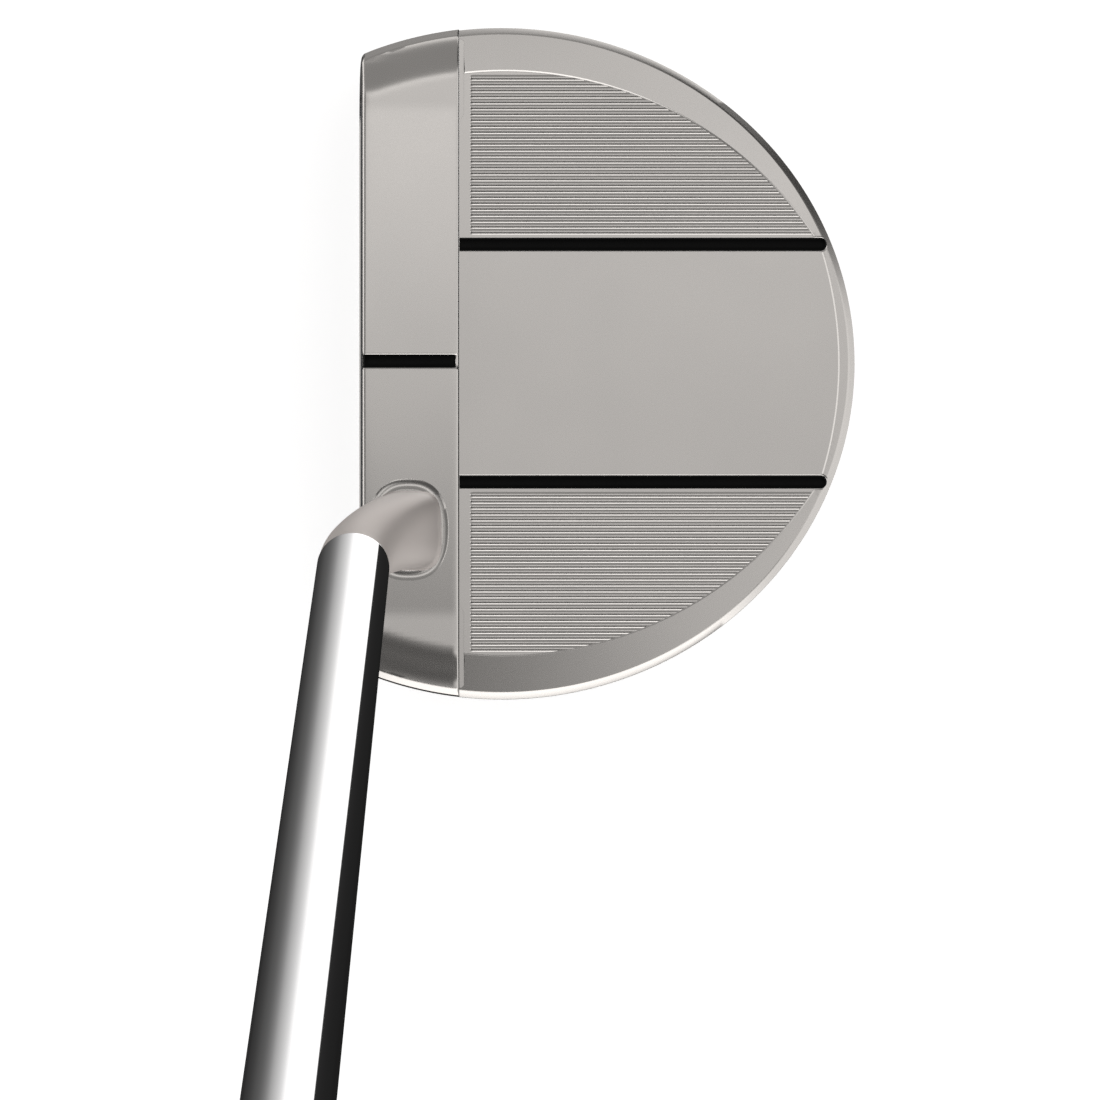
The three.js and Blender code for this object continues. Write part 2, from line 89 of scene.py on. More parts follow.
def arc(
    centre: tuple[float, float],
    radius: float,
    start: float,
    end: float,
    steps: int,
) -> Plan:
    """Points along an arc, both ends included.

    Args:
        centre: Centre of the arc.
        radius: Its radius.
        start: First angle in degrees.
        end: Last angle in degrees.
        steps: Number of chords.

    Returns:
        The points, in order.
    """
    points = []
    for i in range(steps + 1):
        angle = math.radians(lerp(start, end, i / steps))
        points.append((centre[0] + radius * math.cos(angle), centre[1] + radius * math.sin(angle)))
    return points


def level(points: Iterable[tuple[float, float]], height: float) -> Ring:
    """Lays plan points at one height."""
    return [Vector((x, y, height)) for x, y in points]


def superellipse(half_x: float, half_y: float, power: float, count: int) -> Plan:
    """A rounded-square outline.

    Args:
        half_x: Half width along x.
        half_y: Half width along y.
        power: 2 for an ellipse, more for squarer corners.
        count: Number of points.

    Returns:
        The outline's points, anticlockwise.
    """
    points = []
    for i in range(count):
        angle = 2 * math.pi * i / count
        c, s = math.cos(angle), math.sin(angle)
        reach = (abs(c) ** power + abs(s) ** power) ** (-1 / power)
        points.append((half_x * reach * c, half_y * reach * s))
    return points


def loft(rings: Sequence[Ring]) -> bmesh.types.BMesh:
    """Extrudes a closed solid through rings of equal length, with a cap at each end.

    Args:
        rings: The rings, each with its points in the same order.

    Returns:
        The solid, with its faces pointing out.
    """
    bm = bmesh.new()
    current = [bm.verts.new(point) for point in rings[0]]
    cap = bm.faces.new(current)
    for index, ring in enumerate(rings[1:]):
        made = bmesh.ops.extrude_face_region(bm, geom=[cap])
        if index:
            bmesh.ops.delete(bm, geom=[cap], context="FACES_ONLY")
        cap = next(item for item in made["geom"] if isinstance(item, bmesh.types.BMFace))
        fresh = set(cap.verts)
        current = [next(e.other_vert(v) for e in v.link_edges if e.other_vert(v) in fresh) for v in current]
        for vert, point in zip(current, ring):
            vert.co = point
    bmesh.ops.recalc_face_normals(bm, faces=bm.faces[:])
    return bm


def spun(profile: Pairs, steps: int = 96) -> bmesh.types.BMesh:
    """Spins a profile of (radius, height) points once round the z axis.

    Args:
        profile: Points of the profile. It starts and ends on the axis, or closes on itself.
        steps: Number of steps in the turn.

    Returns:
        The closed solid.
    """
    bm = bmesh.new()
    verts = [bm.verts.new((radius, 0, height)) for radius, height in profile]
    edges = [bm.edges.new(pair) for pair in zip(verts, verts[1:])]
    bmesh.ops.spin(
        bm,
        geom=verts + edges,
        cent=(0, 0, 0),
        axis=(0, 0, 1),
        angle=2 * math.pi,
        steps=steps,
        use_merge=True,
    )
    bmesh.ops.remove_doubles(bm, verts=bm.verts[:], dist=1e-4)
    bmesh.ops.recalc_face_normals(bm, faces=bm.faces[:])
    return bm


def to_object(name: str, bm: bmesh.types.BMesh) -> bpy.types.Object:
    """Turns a bmesh into an object at the origin and frees it.

    Args:
        name: Name of the object.
        bm: The mesh, in millimetres.

    Returns:
        The new object.
    """
    mesh = bpy.data.meshes.new(name)
    bm.to_mesh(mesh)
    bm.free()
    piece = bpy.data.objects.new(name, mesh)
    bpy.context.scene.collection.objects.link(piece)
    return piece


def turn_of(edge: bmesh.types.BMEdge) -> float:
    """How far a convex edge turns, in degrees, or 0 for any other edge."""
    return math.degrees(edge.calc_face_angle(0)) if edge.is_manifold and edge.is_convex else 0.0


class Joining(Enum):
    """How one solid changes another."""

    CUT = "DIFFERENCE"
    ADD = "UNION"


def combine(piece: bpy.types.Object, tool: bmesh.types.BMesh, how: Joining) -> None:
    """Cuts away or adds a solid and leaves the result in piece's mesh.

    Args:
        piece: The object that is changed.
        tool: The other solid, which is used up.
        how: What is done with it.
    """
    other = to_object("tool", tool)
    modifier = piece.modifiers.new("joining", "BOOLEAN")
    modifier.operation = how.value
    modifier.solver = "EXACT"
    modifier.object = other
    graph = bpy.context.evaluated_depsgraph_get()
    result = bpy.data.meshes.new_from_object(piece.evaluated_get(graph))
    piece.modifiers.clear()
    old = piece.data
    piece.data = result
    bpy.data.meshes.remove(old)
    bpy.data.objects.remove(other)


def gathered(solids: Iterable[bmesh.types.BMesh]) -> bmesh.types.BMesh:
    """Puts several solids in one bmesh and frees them.

    Args:
        solids: The solids.

    Returns:
        All of them in one.
    """
    whole = bmesh.new()
    for solid in solids:
        scrap = bpy.data.meshes.new("scrap")
        solid.to_mesh(scrap)
        solid.free()
        whole.from_mesh(scrap)
        bpy.data.meshes.remove(scrap)
    return whole


def edit(piece: bpy.types.Object, change: Callable[[bmesh.types.BMesh], None]) -> None:
    """Runs a change on a piece's mesh through a bmesh.

    Args:
        piece: The object to change.
        change: Function that works on the bmesh.
    """
    bm = bmesh.new()
    bm.from_mesh(piece.data)
    change(bm)
    bm.to_mesh(piece.data)
    bm.free()


def shade(piece: bpy.types.Object, sharp_degrees: float = 32, weighted: bool = True) -> None:
    """Shades a piece smooth except across its sharp edges, and keeps flat faces flat.

    Args:
        piece: The object.
        sharp_degrees: Edges that turn by more than this stay sharp.
        weighted: Whether larger faces rule the normals.
    """
    limit = math.radians(sharp_degrees)

    def mark(bm: bmesh.types.BMesh) -> None:
        """Marks every face smooth and every tight edge sharp.

        Args:
            bm: The piece's mesh.
        """
        for face in bm.faces:
            face.smooth = True
        for edge in bm.edges:
            edge.smooth = not edge.is_manifold or edge.calc_face_angle(0.0) < limit

    edit(piece, mark)
    if weighted:
        modifier = piece.modifiers.new("weighted", "WEIGHTED_NORMAL")
        modifier.keep_sharp = True


# --------------------------------------------------------------------------- frame places


@dataclass(frozen=True)
class Bench:
    """Where the head's own corner and the shaft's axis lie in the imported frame."""

    lie_degrees: float = 70.0
    shaft_start: Vector = field(default_factory=lambda: Vector((30.7, 1.84, 62.0)))

    def corner(self) -> Vector:
        """The head's corner, in metres: centreline, leading edge and ground."""
        low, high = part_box("head_body")
        return Vector(((low.x + high.x) / 2, low.y, low.z))

    def head(self) -> Matrix:
        """Takes millimetres in the head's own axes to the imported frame."""
        return Matrix.Translation(self.corner()) @ Matrix.Scale(MM, 4)

    def shaft(self) -> Matrix:
        """Takes millimetres along the shaft (z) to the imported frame."""
        turn = Matrix.Rotation(math.radians(90 - self.lie_degrees), 4, "Y")
        return self.head() @ Matrix.Translation(self.shaft_start) @ turn

    def finish(
        self,
        piece: bpy.types.Object,
        place: Matrix,
        look: bpy.types.Material,
        slot: str,
        nodes: Sequence[str],
        body: str = CLUB,
    ) -> None:
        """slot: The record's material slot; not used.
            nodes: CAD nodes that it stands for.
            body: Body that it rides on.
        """
        piece.data.transform(place)
        piece.data.materials.clear()
        piece.data.materials.append(look)
        piece.visible_glossy = False
        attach(piece, body)
        if nodes:
            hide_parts(*nodes)
        LOG.info("%s: %d faces on %s", piece.name, len(piece.data.polygons), body)


BENCH = Bench()


# --------------------------------------------------------------------------- finishes


class Graph:
    """A node tree, with short ways to add and join nodes."""

    def __init__(self, tree: bpy.types.NodeTree) -> None:
        """Works on a material's or the world's tree."""
        self.tree = tree

    def node(self, kind: str, **settings: object) -> bpy.types.Node:
        """Adds a node.

        Args:
            kind: Node type name.
            **settings: Properties, or values of inputs named with in_ before the name.

        Returns:
            The node.
        """
        made = self.tree.nodes.new(kind)
        for key, value in settings.items():
            if key.startswith("in_"):
                made.inputs[key[3:].replace("_", " ")].default_value = value
            else:
                setattr(made, key, value)
        return made

    def link(self, source: Socket, target: Socket) -> None:
        """Joins two sockets."""
        self.tree.links.new(source, target)

    def feed(self, value: Socket | float, target: Socket) -> None:
        """Gives an input a socket's value or a constant.

        Args:
            value: The socket or the constant.
            target: The input.
        """
        if isinstance(value, float):
            target.default_value = value
        else:
            self.link(value, target)

    def ranged(
        self,
        value: Socket,
        source: tuple[float, float],
        target: tuple[float, float] = (0, 1),
        eased: bool = False,
    ) -> Socket:
        """Maps one range onto another.

        Args:
            value: What is mapped.
            source: Its range.
            target: The range that it is mapped onto.
            eased: Whether the ends are eased.

        Returns:
            The mapped value.
        """
        made = self.node("ShaderNodeMapRange", interpolation_type="SMOOTHSTEP" if eased else "LINEAR")
        made.inputs["From Min"].default_value, made.inputs["From Max"].default_value = source
        made.inputs["To Min"].default_value, made.inputs["To Max"].default_value = target
        self.link(value, made.inputs["Value"])
        return made.outputs["Result"]

    def maths(self, operation: str, first: Socket, second: Socket | float) -> Socket:
        """Joins two values by a maths operation.

        Args:
            operation: Name of the operation.
            first: First value.
            second: Second value.

        Returns:
            The result.
        """
        made = self.node("ShaderNodeMath", operation=operation)
        self.feed(first, made.inputs[0])
        self.feed(second, made.inputs[1])
        return made.outputs[0]

    def blended(self, share: Socket, under: Socket, over: Socket | float) -> Socket:
        """Lays one value over another.

        Args:
            share: Share of the upper one.
            under: The lower one.
            over: The upper one.

        Returns:
            The blended value.
        """
        made = self.node("ShaderNodeMix")
        self.feed(share, made.inputs["Factor"])
        self.feed(under, made.inputs["A"])
        self.feed(over, made.inputs["B"])
        return made.outputs["Result"]


class Dressing(Graph):
    """A material's node tree, on object coordinates."""

    def __init__(self, name: str) -> None:
        """Starts an empty material with a principled shader.

        Args:
            name: The material's name.
        """
        self.material = bpy.data.materials.new(name)
        self.material.use_nodes = True
        super().__init__(self.material.node_tree)
        self.shader = self.tree.nodes["Principled BSDF"]
        self.coordinates = self.node("ShaderNodeTexCoord").outputs["Object"]

    def stretched(self, scale: Sequence[float]) -> Socket:
        """Object coordinates, scaled.

        Args:
            scale: Scale along each axis.

        Returns:
            The vector.
        """
        mapping = self.node("ShaderNodeMapping", in_Scale=scale)
        self.link(self.coordinates, mapping.inputs["Vector"])
        return mapping.outputs["Vector"]

    def noise(self, scale: float, detail: float, vector: Socket | None = None) -> Socket:
        """Noise over the object.

        Args:
            scale: Waves per metre, roughly.
            detail: Octaves.
            vector: Coordinates, or none for plain object coordinates.

        Returns:
            The noise's value, around a half.
        """
        made = self.node("ShaderNodeTexNoise", in_Scale=scale, in_Detail=detail)
        self.link(vector or self.coordinates, made.inputs["Vector"])
        return made.outputs["Fac"]

    def spread(self, value: Socket, low: float, high: float) -> Socket:
        """Maps noise from its usual range onto low to high.

        Args:
            value: The noise.
            low: Result for low noise.
            high: Result for high noise.

        Returns:
            The mapped value.
        """
        return self.ranged(value, (0.3, 0.7), (low, high))

    def colour(self, cloud: Socket, first: Sequence[float], second: Sequence[float]) -> None:
        """Gives the shader two colours in soft clouds.

        Args:
            cloud: The noise that the clouds follow.
            first: Colour where it is low.
            second: Colour where it is high.
        """
        made = self.node("ShaderNodeMix", data_type="RGBA")
        made.inputs[6].default_value = (*first, 1)
        made.inputs[7].default_value = (*second, 1)
        self.link(self.spread(cloud, 0, 1), made.inputs["Factor"])
        self.link(made.outputs[2], self.shader.inputs["Base Color"])

    def grained(self, grain: Socket, rough: tuple[float, float], strength: float, depth: float) -> None:
        """Gives the shader roughness and bump from one grain.

        Args:
            grain: The noise.
            rough: Least and greatest roughness.
            strength: Strength of the bump.
            depth: Its depth in metres.
        """
        self.link(self.spread(grain, *rough), self.shader.inputs["Roughness"])
        made = self.node("ShaderNodeBump", in_Strength=strength, in_Distance=depth)
        self.link(grain, made.inputs["Height"])
        self.link(made.outputs["Normal"], self.shader.inputs["Normal"])


@dataclass(frozen=True)
class Metal:
    """A bare or plated metal with a fine grain. Grain depth is in metres."""

    name: str
    colour: tuple[float, float, float]
    shade_colour: tuple[float, float, float]
    rough: tuple[float, float]
    grain_scale: float = 4000
    grain_stretch: tuple[float, float, float] = (1, 1, 1)
    grain_depth: float = 0.000004
    grain_strength: float = 0.25
    metallic: float = 1

    def make(self) -> bpy.types.Material:
        """Builds the material.

        Returns:
            The material.
        """
        g = Dressing(self.name)
        g.shader.inputs["Metallic"].default_value = self.metallic
        g.colour(g.noise(60, 3), self.colour, self.shade_colour)
        grain = g.noise(self.grain_scale, 3, g.stretched(self.grain_stretch))
        g.grained(grain, self.rough, self.grain_strength, self.grain_depth)
        return g.material


@dataclass(frozen=True)
class Coating:
    """A paint, polymer or rubber surface. Grain depth is in metres."""

    name: str
    colour: tuple[float, float, float]
    shade_colour: tuple[float, float, float]
    rough: tuple[float, float]
    grain_scale: float = 2500
    grain_depth: float = 0.00001
    grain_strength: float = 0.2
    coat: float = 0
    coat_roughness: float = 0.1
    specular: float = 0.5

    def make(self) -> bpy.types.Material:
        """Builds the material.

        Returns:
            The material.
        """
        g = Dressing(self.name)
        g.colour(g.noise(90, 4), self.colour, self.shade_colour)
        g.grained(g.noise(self.grain_scale, 4), self.rough, self.grain_strength, self.grain_depth)
        g.shader.inputs["Specular IOR Level"].default_value = self.specular
        g.shader.inputs["Coat Weight"].default_value = self.coat
        g.shader.inputs["Coat Roughness"].default_value = self.coat_roughness
        return g.material


STEEL = Metal(
    "satin_stainless",
    (0.6, 0.578, 0.556),
    (0.575, 0.555, 0.535),
    (0.25, 0.28),
    grain_strength=0.03,
)
# Painted light: a lighter, partly diffuse copy of the head's stainless, which lifts the dark reflections on
# the neck.
NECK_STEEL_PAINTED_LIGHT = Metal(
    "neck_stainless_painted_light",
    (0.66, 0.61, 0.58),
    (0.64, 0.59, 0.56),
    (0.5, 0.54),
    grain_strength=0.06,
    metallic=0.6,
)
CHROME = Metal(
    "shaft_chrome",
    (0.93, 0.93, 0.93),
    (0.9, 0.9, 0.91),
    (0.035, 0.06),
    grain_scale=900,
    grain_stretch=(1, 1, 0.05),
    grain_depth=1e-6,
    grain_strength=0.05,
)
SOLE_METAL = Metal(
    "sole_aluminium",
    (0.58, 0.585, 0.59),
    (0.53, 0.535, 0.54),
    (0.36, 0.44),
    grain_scale=3000,
    grain_stretch=(0.06, 1, 1),
)
WEIGHT_METAL = Metal("weight_steel", (0.6, 0.59, 0.58), (0.55, 0.54, 0.53), (0.2, 0.28), grain_scale=3500)
PAINT = Coating(
    "line_enamel",
    (0.0015, 0.0015, 0.0015),
    (0.0025, 0.0024, 0.0023),
    (0.4, 0.46),
    grain_scale=1500,
    grain_depth=2e-6,
    grain_strength=0.1,
    specular=0.08,
)
INSERT = Coating("insert_polymer", (0.07, 0.073, 0.08), (0.09, 0.093, 0.1), (0.5, 0.58))
RUBBER = Coating(
    "grip_rubber",
    (0.018, 0.018, 0.02),
    (0.028, 0.028, 0.03),
    (0.62, 0.78),
    grain_scale=5000,
    grain_depth=2e-5,
    grain_strength=0.35,
)
CAP_PLASTIC = Coating("cap_plastic", (0.012, 0.012, 0.013), (0.02, 0.02, 0.021), (0.42, 0.5))
WASHER = Coating("washer_rubber", (0.01, 0.01, 0.01), (0.02, 0.02, 0.02), (0.6, 0.75))
BADGE = Coating(
    "badge_enamel",
    (0.02, 0.022, 0.026),
    (0.03, 0.032, 0.036),
    (0.18, 0.24),
    grain_scale=1200,
    grain_depth=2e-6,
    grain_strength=0.1,
    coat=0.8,
    coat_roughness=0.06,
)
EPOXY = Coating("cured_epoxy", (0.55, 0.47, 0.28), (0.6, 0.52, 0.33), (0.3, 0.45))
TAPE = Coating("tape", (0.65, 0.62, 0.54), (0.7, 0.67, 0.6), (0.7, 0.85))
CORK = Coating(
    "cork",
    (0.36, 0.21, 0.1),
    (0.5, 0.32, 0.17),
    (0.8, 0.95),
    grain_scale=900,
    grain_depth=1e-4,
    grain_strength=0.6,
)


# --------------------------------------------------------------------------- camera and studio


@dataclass
class Studio:
    """Camera and floor."""

    camera_x: float = 28.4
    camera_y: float = 29.8
    camera_height: float = 687.5
    lens: float = 144.0
    sensor: float = 36.0
    floor_size: float = 40.0
    floor_drop: float = 0.0006

    def place_camera(self) -> None:
        """Puts the camera straight above the head, with the toe at the top of its view."""
        data = bpy.data.cameras.new("camera")
        data.lens = self.lens
        data.sensor_width = self.sensor
        data.clip_start = 0.01
        data.clip_end = 100
        camera = bpy.data.objects.new("camera", data)
        camera.location = BENCH.head() @ Vector((self.camera_x, self.camera_y, self.camera_height))
        camera.rotation_euler = (0, 0, math.pi / 2)
        bpy.context.scene.collection.objects.link(camera)
        bpy.context.scene.camera = camera

    def lay_floor(self) -> None:
        """Lays the plain pale floor under the sole."""
        bm = bmesh.new()
        bmesh.ops.create_grid(bm, x_segments=1, y_segments=1, size=self.floor_size / 2)
        floor = to_object("floor", bm)
        corner = BENCH.corner()
        floor.data.transform(Matrix.Translation((corner.x, corner.y, corner.z - self.floor_drop)))
        g = Dressing("floor_white")
        g.shader.inputs["Base Color"].default_value = (0.8, 0.8, 0.8, 1)
        g.shader.inputs["Roughness"].default_value = 1
        g.shader.inputs["Specular IOR Level"].default_value = 0
        g.shader.inputs["Emission Color"].default_value = (1, 1, 1, 1)
        g.shader.inputs["Emission Strength"].default_value = 0.72
        clear = g.node("ShaderNodeBsdfTransparent").outputs[0]
        both = g.node("ShaderNodeMixShader")
        g.link(g.node("ShaderNodeNewGeometry").outputs["Backfacing"], both.inputs[0])
        g.link(g.shader.outputs[0], both.inputs[1])
        g.link(clear, both.inputs[2])
        g.link(both.outputs[0], g.tree.nodes["Material Output"].inputs["Surface"])
        floor.data.materials.append(g.material)
        floor.visible_glossy = False


@dataclass(frozen=True)
class Card:
    """A soft patch of the surroundings: a direction, its reach in degrees and its brightness."""

    towards: tuple[float, float, float]
    full: float
    fade: float
    brightness: float


@dataclass
class Surroundings:
    """The soft tent round the object: brightness from toe to heel, cards over it, strips below.

    Between the dusk heights the strips take over, and the low card lies over them. The stops are
    pairs of a place and a brightness. Places across run from the toe's horizon (0) over the zenith
    (0.5) to the heel's horizon (1). Places below run round the lower half, from the face (0) over
    the toe (0.5) to the back (1).
    """

    across: Steps = (
        (0.0, 0.34),
        (0.2, 0.36),
        (0.29, 0.58),
        (0.36, 1.2),
        (0.42, 1.1),
        (0.455, 0.84),
        (0.5, 0.78),
        (0.525, 0.68),
        (0.56, 0.36),
        (0.61, 0.2),
        (0.7, 0.13),
        (0.85, 0.12),
        (1.0, 0.2),
    )
    below: Steps = (
        (0.0, 0.02),
        (0.2, 0.06),
        (0.3, 0.13),
        (0.38, 0.34),
        (0.45, 0.58),
        (0.49, 0.85),
        (0.52, 1.0),
        (0.735, 1.0),
        (0.745, 0.02),
        (1.0, 0.01),
    )
    gain: float = 1.3
    cards: tuple[Card, ...] = (
        Card((0.4, 0.4, 0.9), 8, 24, 1.0),
        Card((0, 0.42, 0.9), 6, 20, 0.8),
        Card((0, -0.8, 0.6), 14, 34, 0.25),
        Card((0, 0.95, 0.5), 12, 30, 0.4),
        Card((0, -1, -0.5), 30, 50, 1.4),
        Card((0.9, 0.2, -0.4), 30, 46, 2.0),
        Card((0.1, 1, -0.35), 30, 46, 1.1),
        Card((-0.7, 0.7, -0.28), 15, 33, 0.08),
        Card((-0.95, -0.15, -0.27), 18, 34, 0.42),
    )
    low_card: Card = Card((0.25, 0.66, -0.78), 10, 20, 0.8)
    dusk: tuple[float, float] = (-0.48, -0.6)

    def build(self) -> None:
        """Builds the world's nodes: each layer is mixed over what lies below it."""
        world = bpy.data.worlds.new("light_tent")
        bpy.context.scene.world = world
        world.use_nodes = True
        g = Graph(world.node_tree)
        g.tree.nodes.clear()
        way = g.node("ShaderNodeTexCoord").outputs["Generated"]
        axes = g.node("ShaderNodeSeparateXYZ")
        g.link(way, axes.inputs[0])
        value = self._ramp(g, g.ranged(axes.outputs["X"], (-1, 1)), self.across)
        for card in self.cards:
            value = self._laid(g, way, value, card)
        toe = g.maths("MULTIPLY", axes.outputs["X"], -1.0)
        turn = g.maths("ARCTAN2", axes.outputs["Y"], toe)
        strips = self._ramp(g, g.ranged(turn, (-math.pi / 2, math.pi / 2)), self.below)
        strips = g.maths("MULTIPLY", strips, self.gain)
        value = g.blended(g.ranged(axes.outputs["Z"], self.dusk, eased=True), value, strips)
        value = self._laid(g, way, value, self.low_card)
        seen = g.node("ShaderNodeLightPath").outputs["Is Camera Ray"]
        background = g.node("ShaderNodeBackground", in_Color=(1, 0.99, 0.982, 1))
        g.link(g.blended(seen, value, 1.0), background.inputs["Strength"])
        g.link(background.outputs["Background"], g.node("ShaderNodeOutputWorld").inputs["Surface"])

    @staticmethod
    def _laid(g: Graph, way: Socket, under: Socket, card: Card) -> Socket:
        """Lays one card over the brightness below it.

        Args:
            g: The world's nodes.
            way: The direction.
            under: Brightness below.
            card: The card.

        Returns:
            The new brightness.
        """
        facing = g.node("ShaderNodeVectorMath", operation="DOT_PRODUCT")
        g.link(way, facing.inputs[0])
        facing.inputs[1].default_value = Vector(card.towards).normalized()
        ends = math.cos(math.radians(card.fade)), math.cos(math.radians(card.full))
        return g.blended(g.ranged(facing.outputs["Value"], ends, eased=True), under, card.brightness)

    @staticmethod
    def _ramp(g: Graph, place: Socket, stops: Steps) -> Socket:
        """A brightness along a run of stops, laid as a curve at half height.

        Args:
            g: The world's nodes.
            place: Where along the run.
            stops: Pairs of place and brightness.

        Returns:
            The brightness.
        """
        made = g.node("ShaderNodeFloatCurve")
        curve = made.mapping.curves[0]
        while len(curve.points) < len(stops):
            curve.points.new(0.5, 0.5)
        for point, (along, grey) in zip(curve.points, stops):
            point.location = (along, grey / 2)
            point.handle_type = "AUTO_CLAMPED"
        made.mapping.update()
        g.link(place, made.inputs["Value"])
        return g.maths("MULTIPLY", made.outputs["Value"], 2.0)


# --------------------------------------------------------------------------- head


@dataclass
class Head:
    """The one-piece stainless head with its bar, rim, pocket, ribs and grooves.

    Steps and chamfers are pairs of how far the plan is taken in and a height, or a drop below the
    edge. Sections are pairs across and up.
    """

    half_width: float = 51.3
    half_depth: float = 53.9
    centre_y: float = 22.45
    rim_top: float = 19.2
    plate_top: float = 18.9
    rib_floor: float = 18.66
    bar_top: float = 26.0
    bar_end: float = 22.6
    bar_crown: float = 1.2
    crown_reach: float = 38.0
    bar_back: float = 16.0
    roll_start: float = 7.8
    roll_end: float = 1.6
    loft_degrees: float = 3.5
    rim_slope: float = 8.0
    side_arc: tuple[float, float, float] = (12.2, 22.84, 56.66)
    back_arc: tuple[float, float] = (16.1, 57.6)
    corner_angle: float = 58.0
    chamfer: Steps = ((0.16, 1.35), (0.98, 0.28), (1.12, 0.12), (1.3, 0.0))
    underside: Steps = ((7.5, 0.0), (5.4, 0.42), (3.6, 1.5), (2.1, 3.3), (1.05, 5.7), (0.38, 8.4))
    wall: Steps = ((0.07, 11.0), (0.0, 12.6), (0.04, 14.5), (0.1, 16.6))
    bar_wall: Steps = ((0.09, 16.4), (0.22, 18.0))
    bar_chamfer_inset: float = 0.35
    line_x: float = 18.05
    line_width: float = 2.1
    line_back: float = 71.9
    line_depth: float = 0.55
    channel_width: float = 0.7
    channel_ends: tuple[float, float] = (36.6, 49.3)
    rib_count: int = 27
    rib_pitch: float = 0.9
    rib_first: float = 20.0
    rib_front: float = 17.6
    rib_half: float = 0.445
    edge_round: float = 0.6
    rear_round: float = 0.42
    insert_middle: float = 11.5
    sole_inset: float = 9.0
    sole_front: float = 12.0
    foot: tuple[float, float] = (25.4, 8.46)
    outline_steps: int = 256
    front_steps: int = 40

    def top_at(self, x: float, y: float) -> float:
        """Height of the bar's top: crowned, and rolling down beside the outline.

        Args:
            x: Place across the head.
            y: Place from the face to the back.

        Returns:
            The height.
        """
        crowned = self.bar_top - self.bar_crown * min(abs(x) / self.crown_reach, 1.0) ** 2
        edge = self.half_width * math.sqrt(max(1 - ((y - self.centre_y) / self.half_depth) ** 2, 0))
        return lerp(self.bar_end, crowned, smoothstep(self.roll_end, self.roll_start, edge - abs(x)))

    def outline(self, inset: float) -> Plan:
        """The head's oval plan.

        Args:
            inset: How far it is taken in.

        Returns:
            The plan's points, anticlockwise.
        """
        points = []
        for i in range(self.outline_steps):
            angle = 2 * math.pi * i / self.outline_steps
            x = (self.half_width - inset) * math.cos(angle)
            y = (self.half_depth - inset) * math.sin(angle)
            points.append((x, self.centre_y + y))
        return points

    def flange_outline(self, inset: float, height: float) -> Plan:
        """The oval plan, with no point close to the face plane, so that its edge rounds cleanly.

        Args:
            inset: How far the plan is taken in.
            height: Height that the plan is used at.

        Returns:
            The plan's points, anticlockwise.
        """
        half_x, half_y = self.half_width - inset, self.half_depth - inset
        face_y = height * math.tan(math.radians(self.loft_degrees))
        behind = math.asin((face_y + 1.6 - self.centre_y) / half_y)
        before = math.asin((face_y - 1.2 - self.centre_y) / half_y)
        long_way, short_way = self.outline_steps - self.front_steps, self.front_steps
        angles = [lerp(behind, math.pi - behind, i / long_way) for i in range(long_way + 1)]
        angles += [lerp(math.pi - before, 2 * math.pi + before, i / short_way) for i in range(short_way + 1)]
        return [(half_x * math.cos(angle), self.centre_y + half_y * math.sin(angle)) for angle in angles]

    def pocket_reach(self, way: tuple[float, float]) -> tuple[float, float]:
        """The pocket's edge seen from the head's middle.

        Args:
            way: Unit direction in plan.

        Returns:
            The point on the edge in that direction.
        """
        cx, cy, radius = self.side_arc
        centre, back = self.back_arc
        circles = [(-cx, cy, radius), (cx, cy, radius), (0.0, centre, back)]
        nearest = 200.0
        for mx, my, size in circles:
            ox, oy = -mx, self.centre_y - my
            along = ox * way[0] + oy * way[1]
            nearest = min(nearest, math.sqrt(along**2 - ox**2 - oy**2 + size**2) - along)
        return nearest * way[0], self.centre_y + nearest * way[1]

    def face_cut(self, bm: bmesh.types.BMesh) -> None:
        """Cuts a solid by the leaning face plane and closes the cut."""
        slope = math.radians(self.loft_degrees)
        self.plane_cut(bm, (0, 0, 0), (0, -math.cos(slope), math.sin(slope)))

    @staticmethod
    def plane_cut(bm: bmesh.types.BMesh, place: Sequence[float], way: Sequence[float]) -> None:
        """Cuts away what lies beyond a plane and closes the cut.

        Args:
            bm: The solid.
            place: Point of the plane.
            way: The plane's normal, towards what goes.
        """
        geom = bm.verts[:] + bm.edges[:] + bm.faces[:]
        bmesh.ops.bisect_plane(bm, geom=geom, dist=1e-4, plane_co=place, plane_no=way, clear_outer=True)
        bmesh.ops.holes_fill(bm, edges=[edge for edge in bm.edges if edge.is_boundary])
        bmesh.ops.recalc_face_normals(bm, faces=bm.faces[:])

    def flange(self) -> bmesh.types.BMesh:
        """The oval flange: rounded under, drafted wall, bright chamfer and falling rim.

        Returns:
            The closed solid.
        """
        steps = self.underside + self.wall
        rings = [level(self.flange_outline(inset, height), height) for inset, height in steps]
        inner = []
        for x, y in self.flange_outline(0, self.rim_top):
            size = math.hypot(x, y - self.centre_y)
            inner.append(self.pocket_reach((x / size, (y - self.centre_y) / size)))
        fall = math.tan(math.radians(self.rim_slope))
        for inset, drop in self.chamfer:
            ring = []
            for (x, y), near in zip(self.flange_outline(inset, self.rim_top), inner):
                edge = self.rim_top - fall * max(math.dist((x, y), near), 0)
                ring.append(Vector((x, y, edge - drop)))
            rings.append(ring)
        rings.append(level(inner, self.rim_top))
        bm = loft(rings)
        self.face_cut(bm)
        edges = self.front_edges(bm, lambda middle: middle.z < self.rim_top - 0.3)
        self._bevel(bm, edges, self.edge_round, 4)
        return bm

    def bar(self) -> bmesh.types.BMesh:
        """The bar behind the face, with its rolled ends, before its cuts and rounded edges.

        Returns:
            The closed solid.
        """
        rings = [level(self.bar_outline(inset), height) for inset, height in self.bar_wall]
        for inset, drop in self.chamfer:
            rings.append(level(self.bar_outline(inset + self.bar_chamfer_inset), self.bar_end - drop))
        bm = loft(rings)
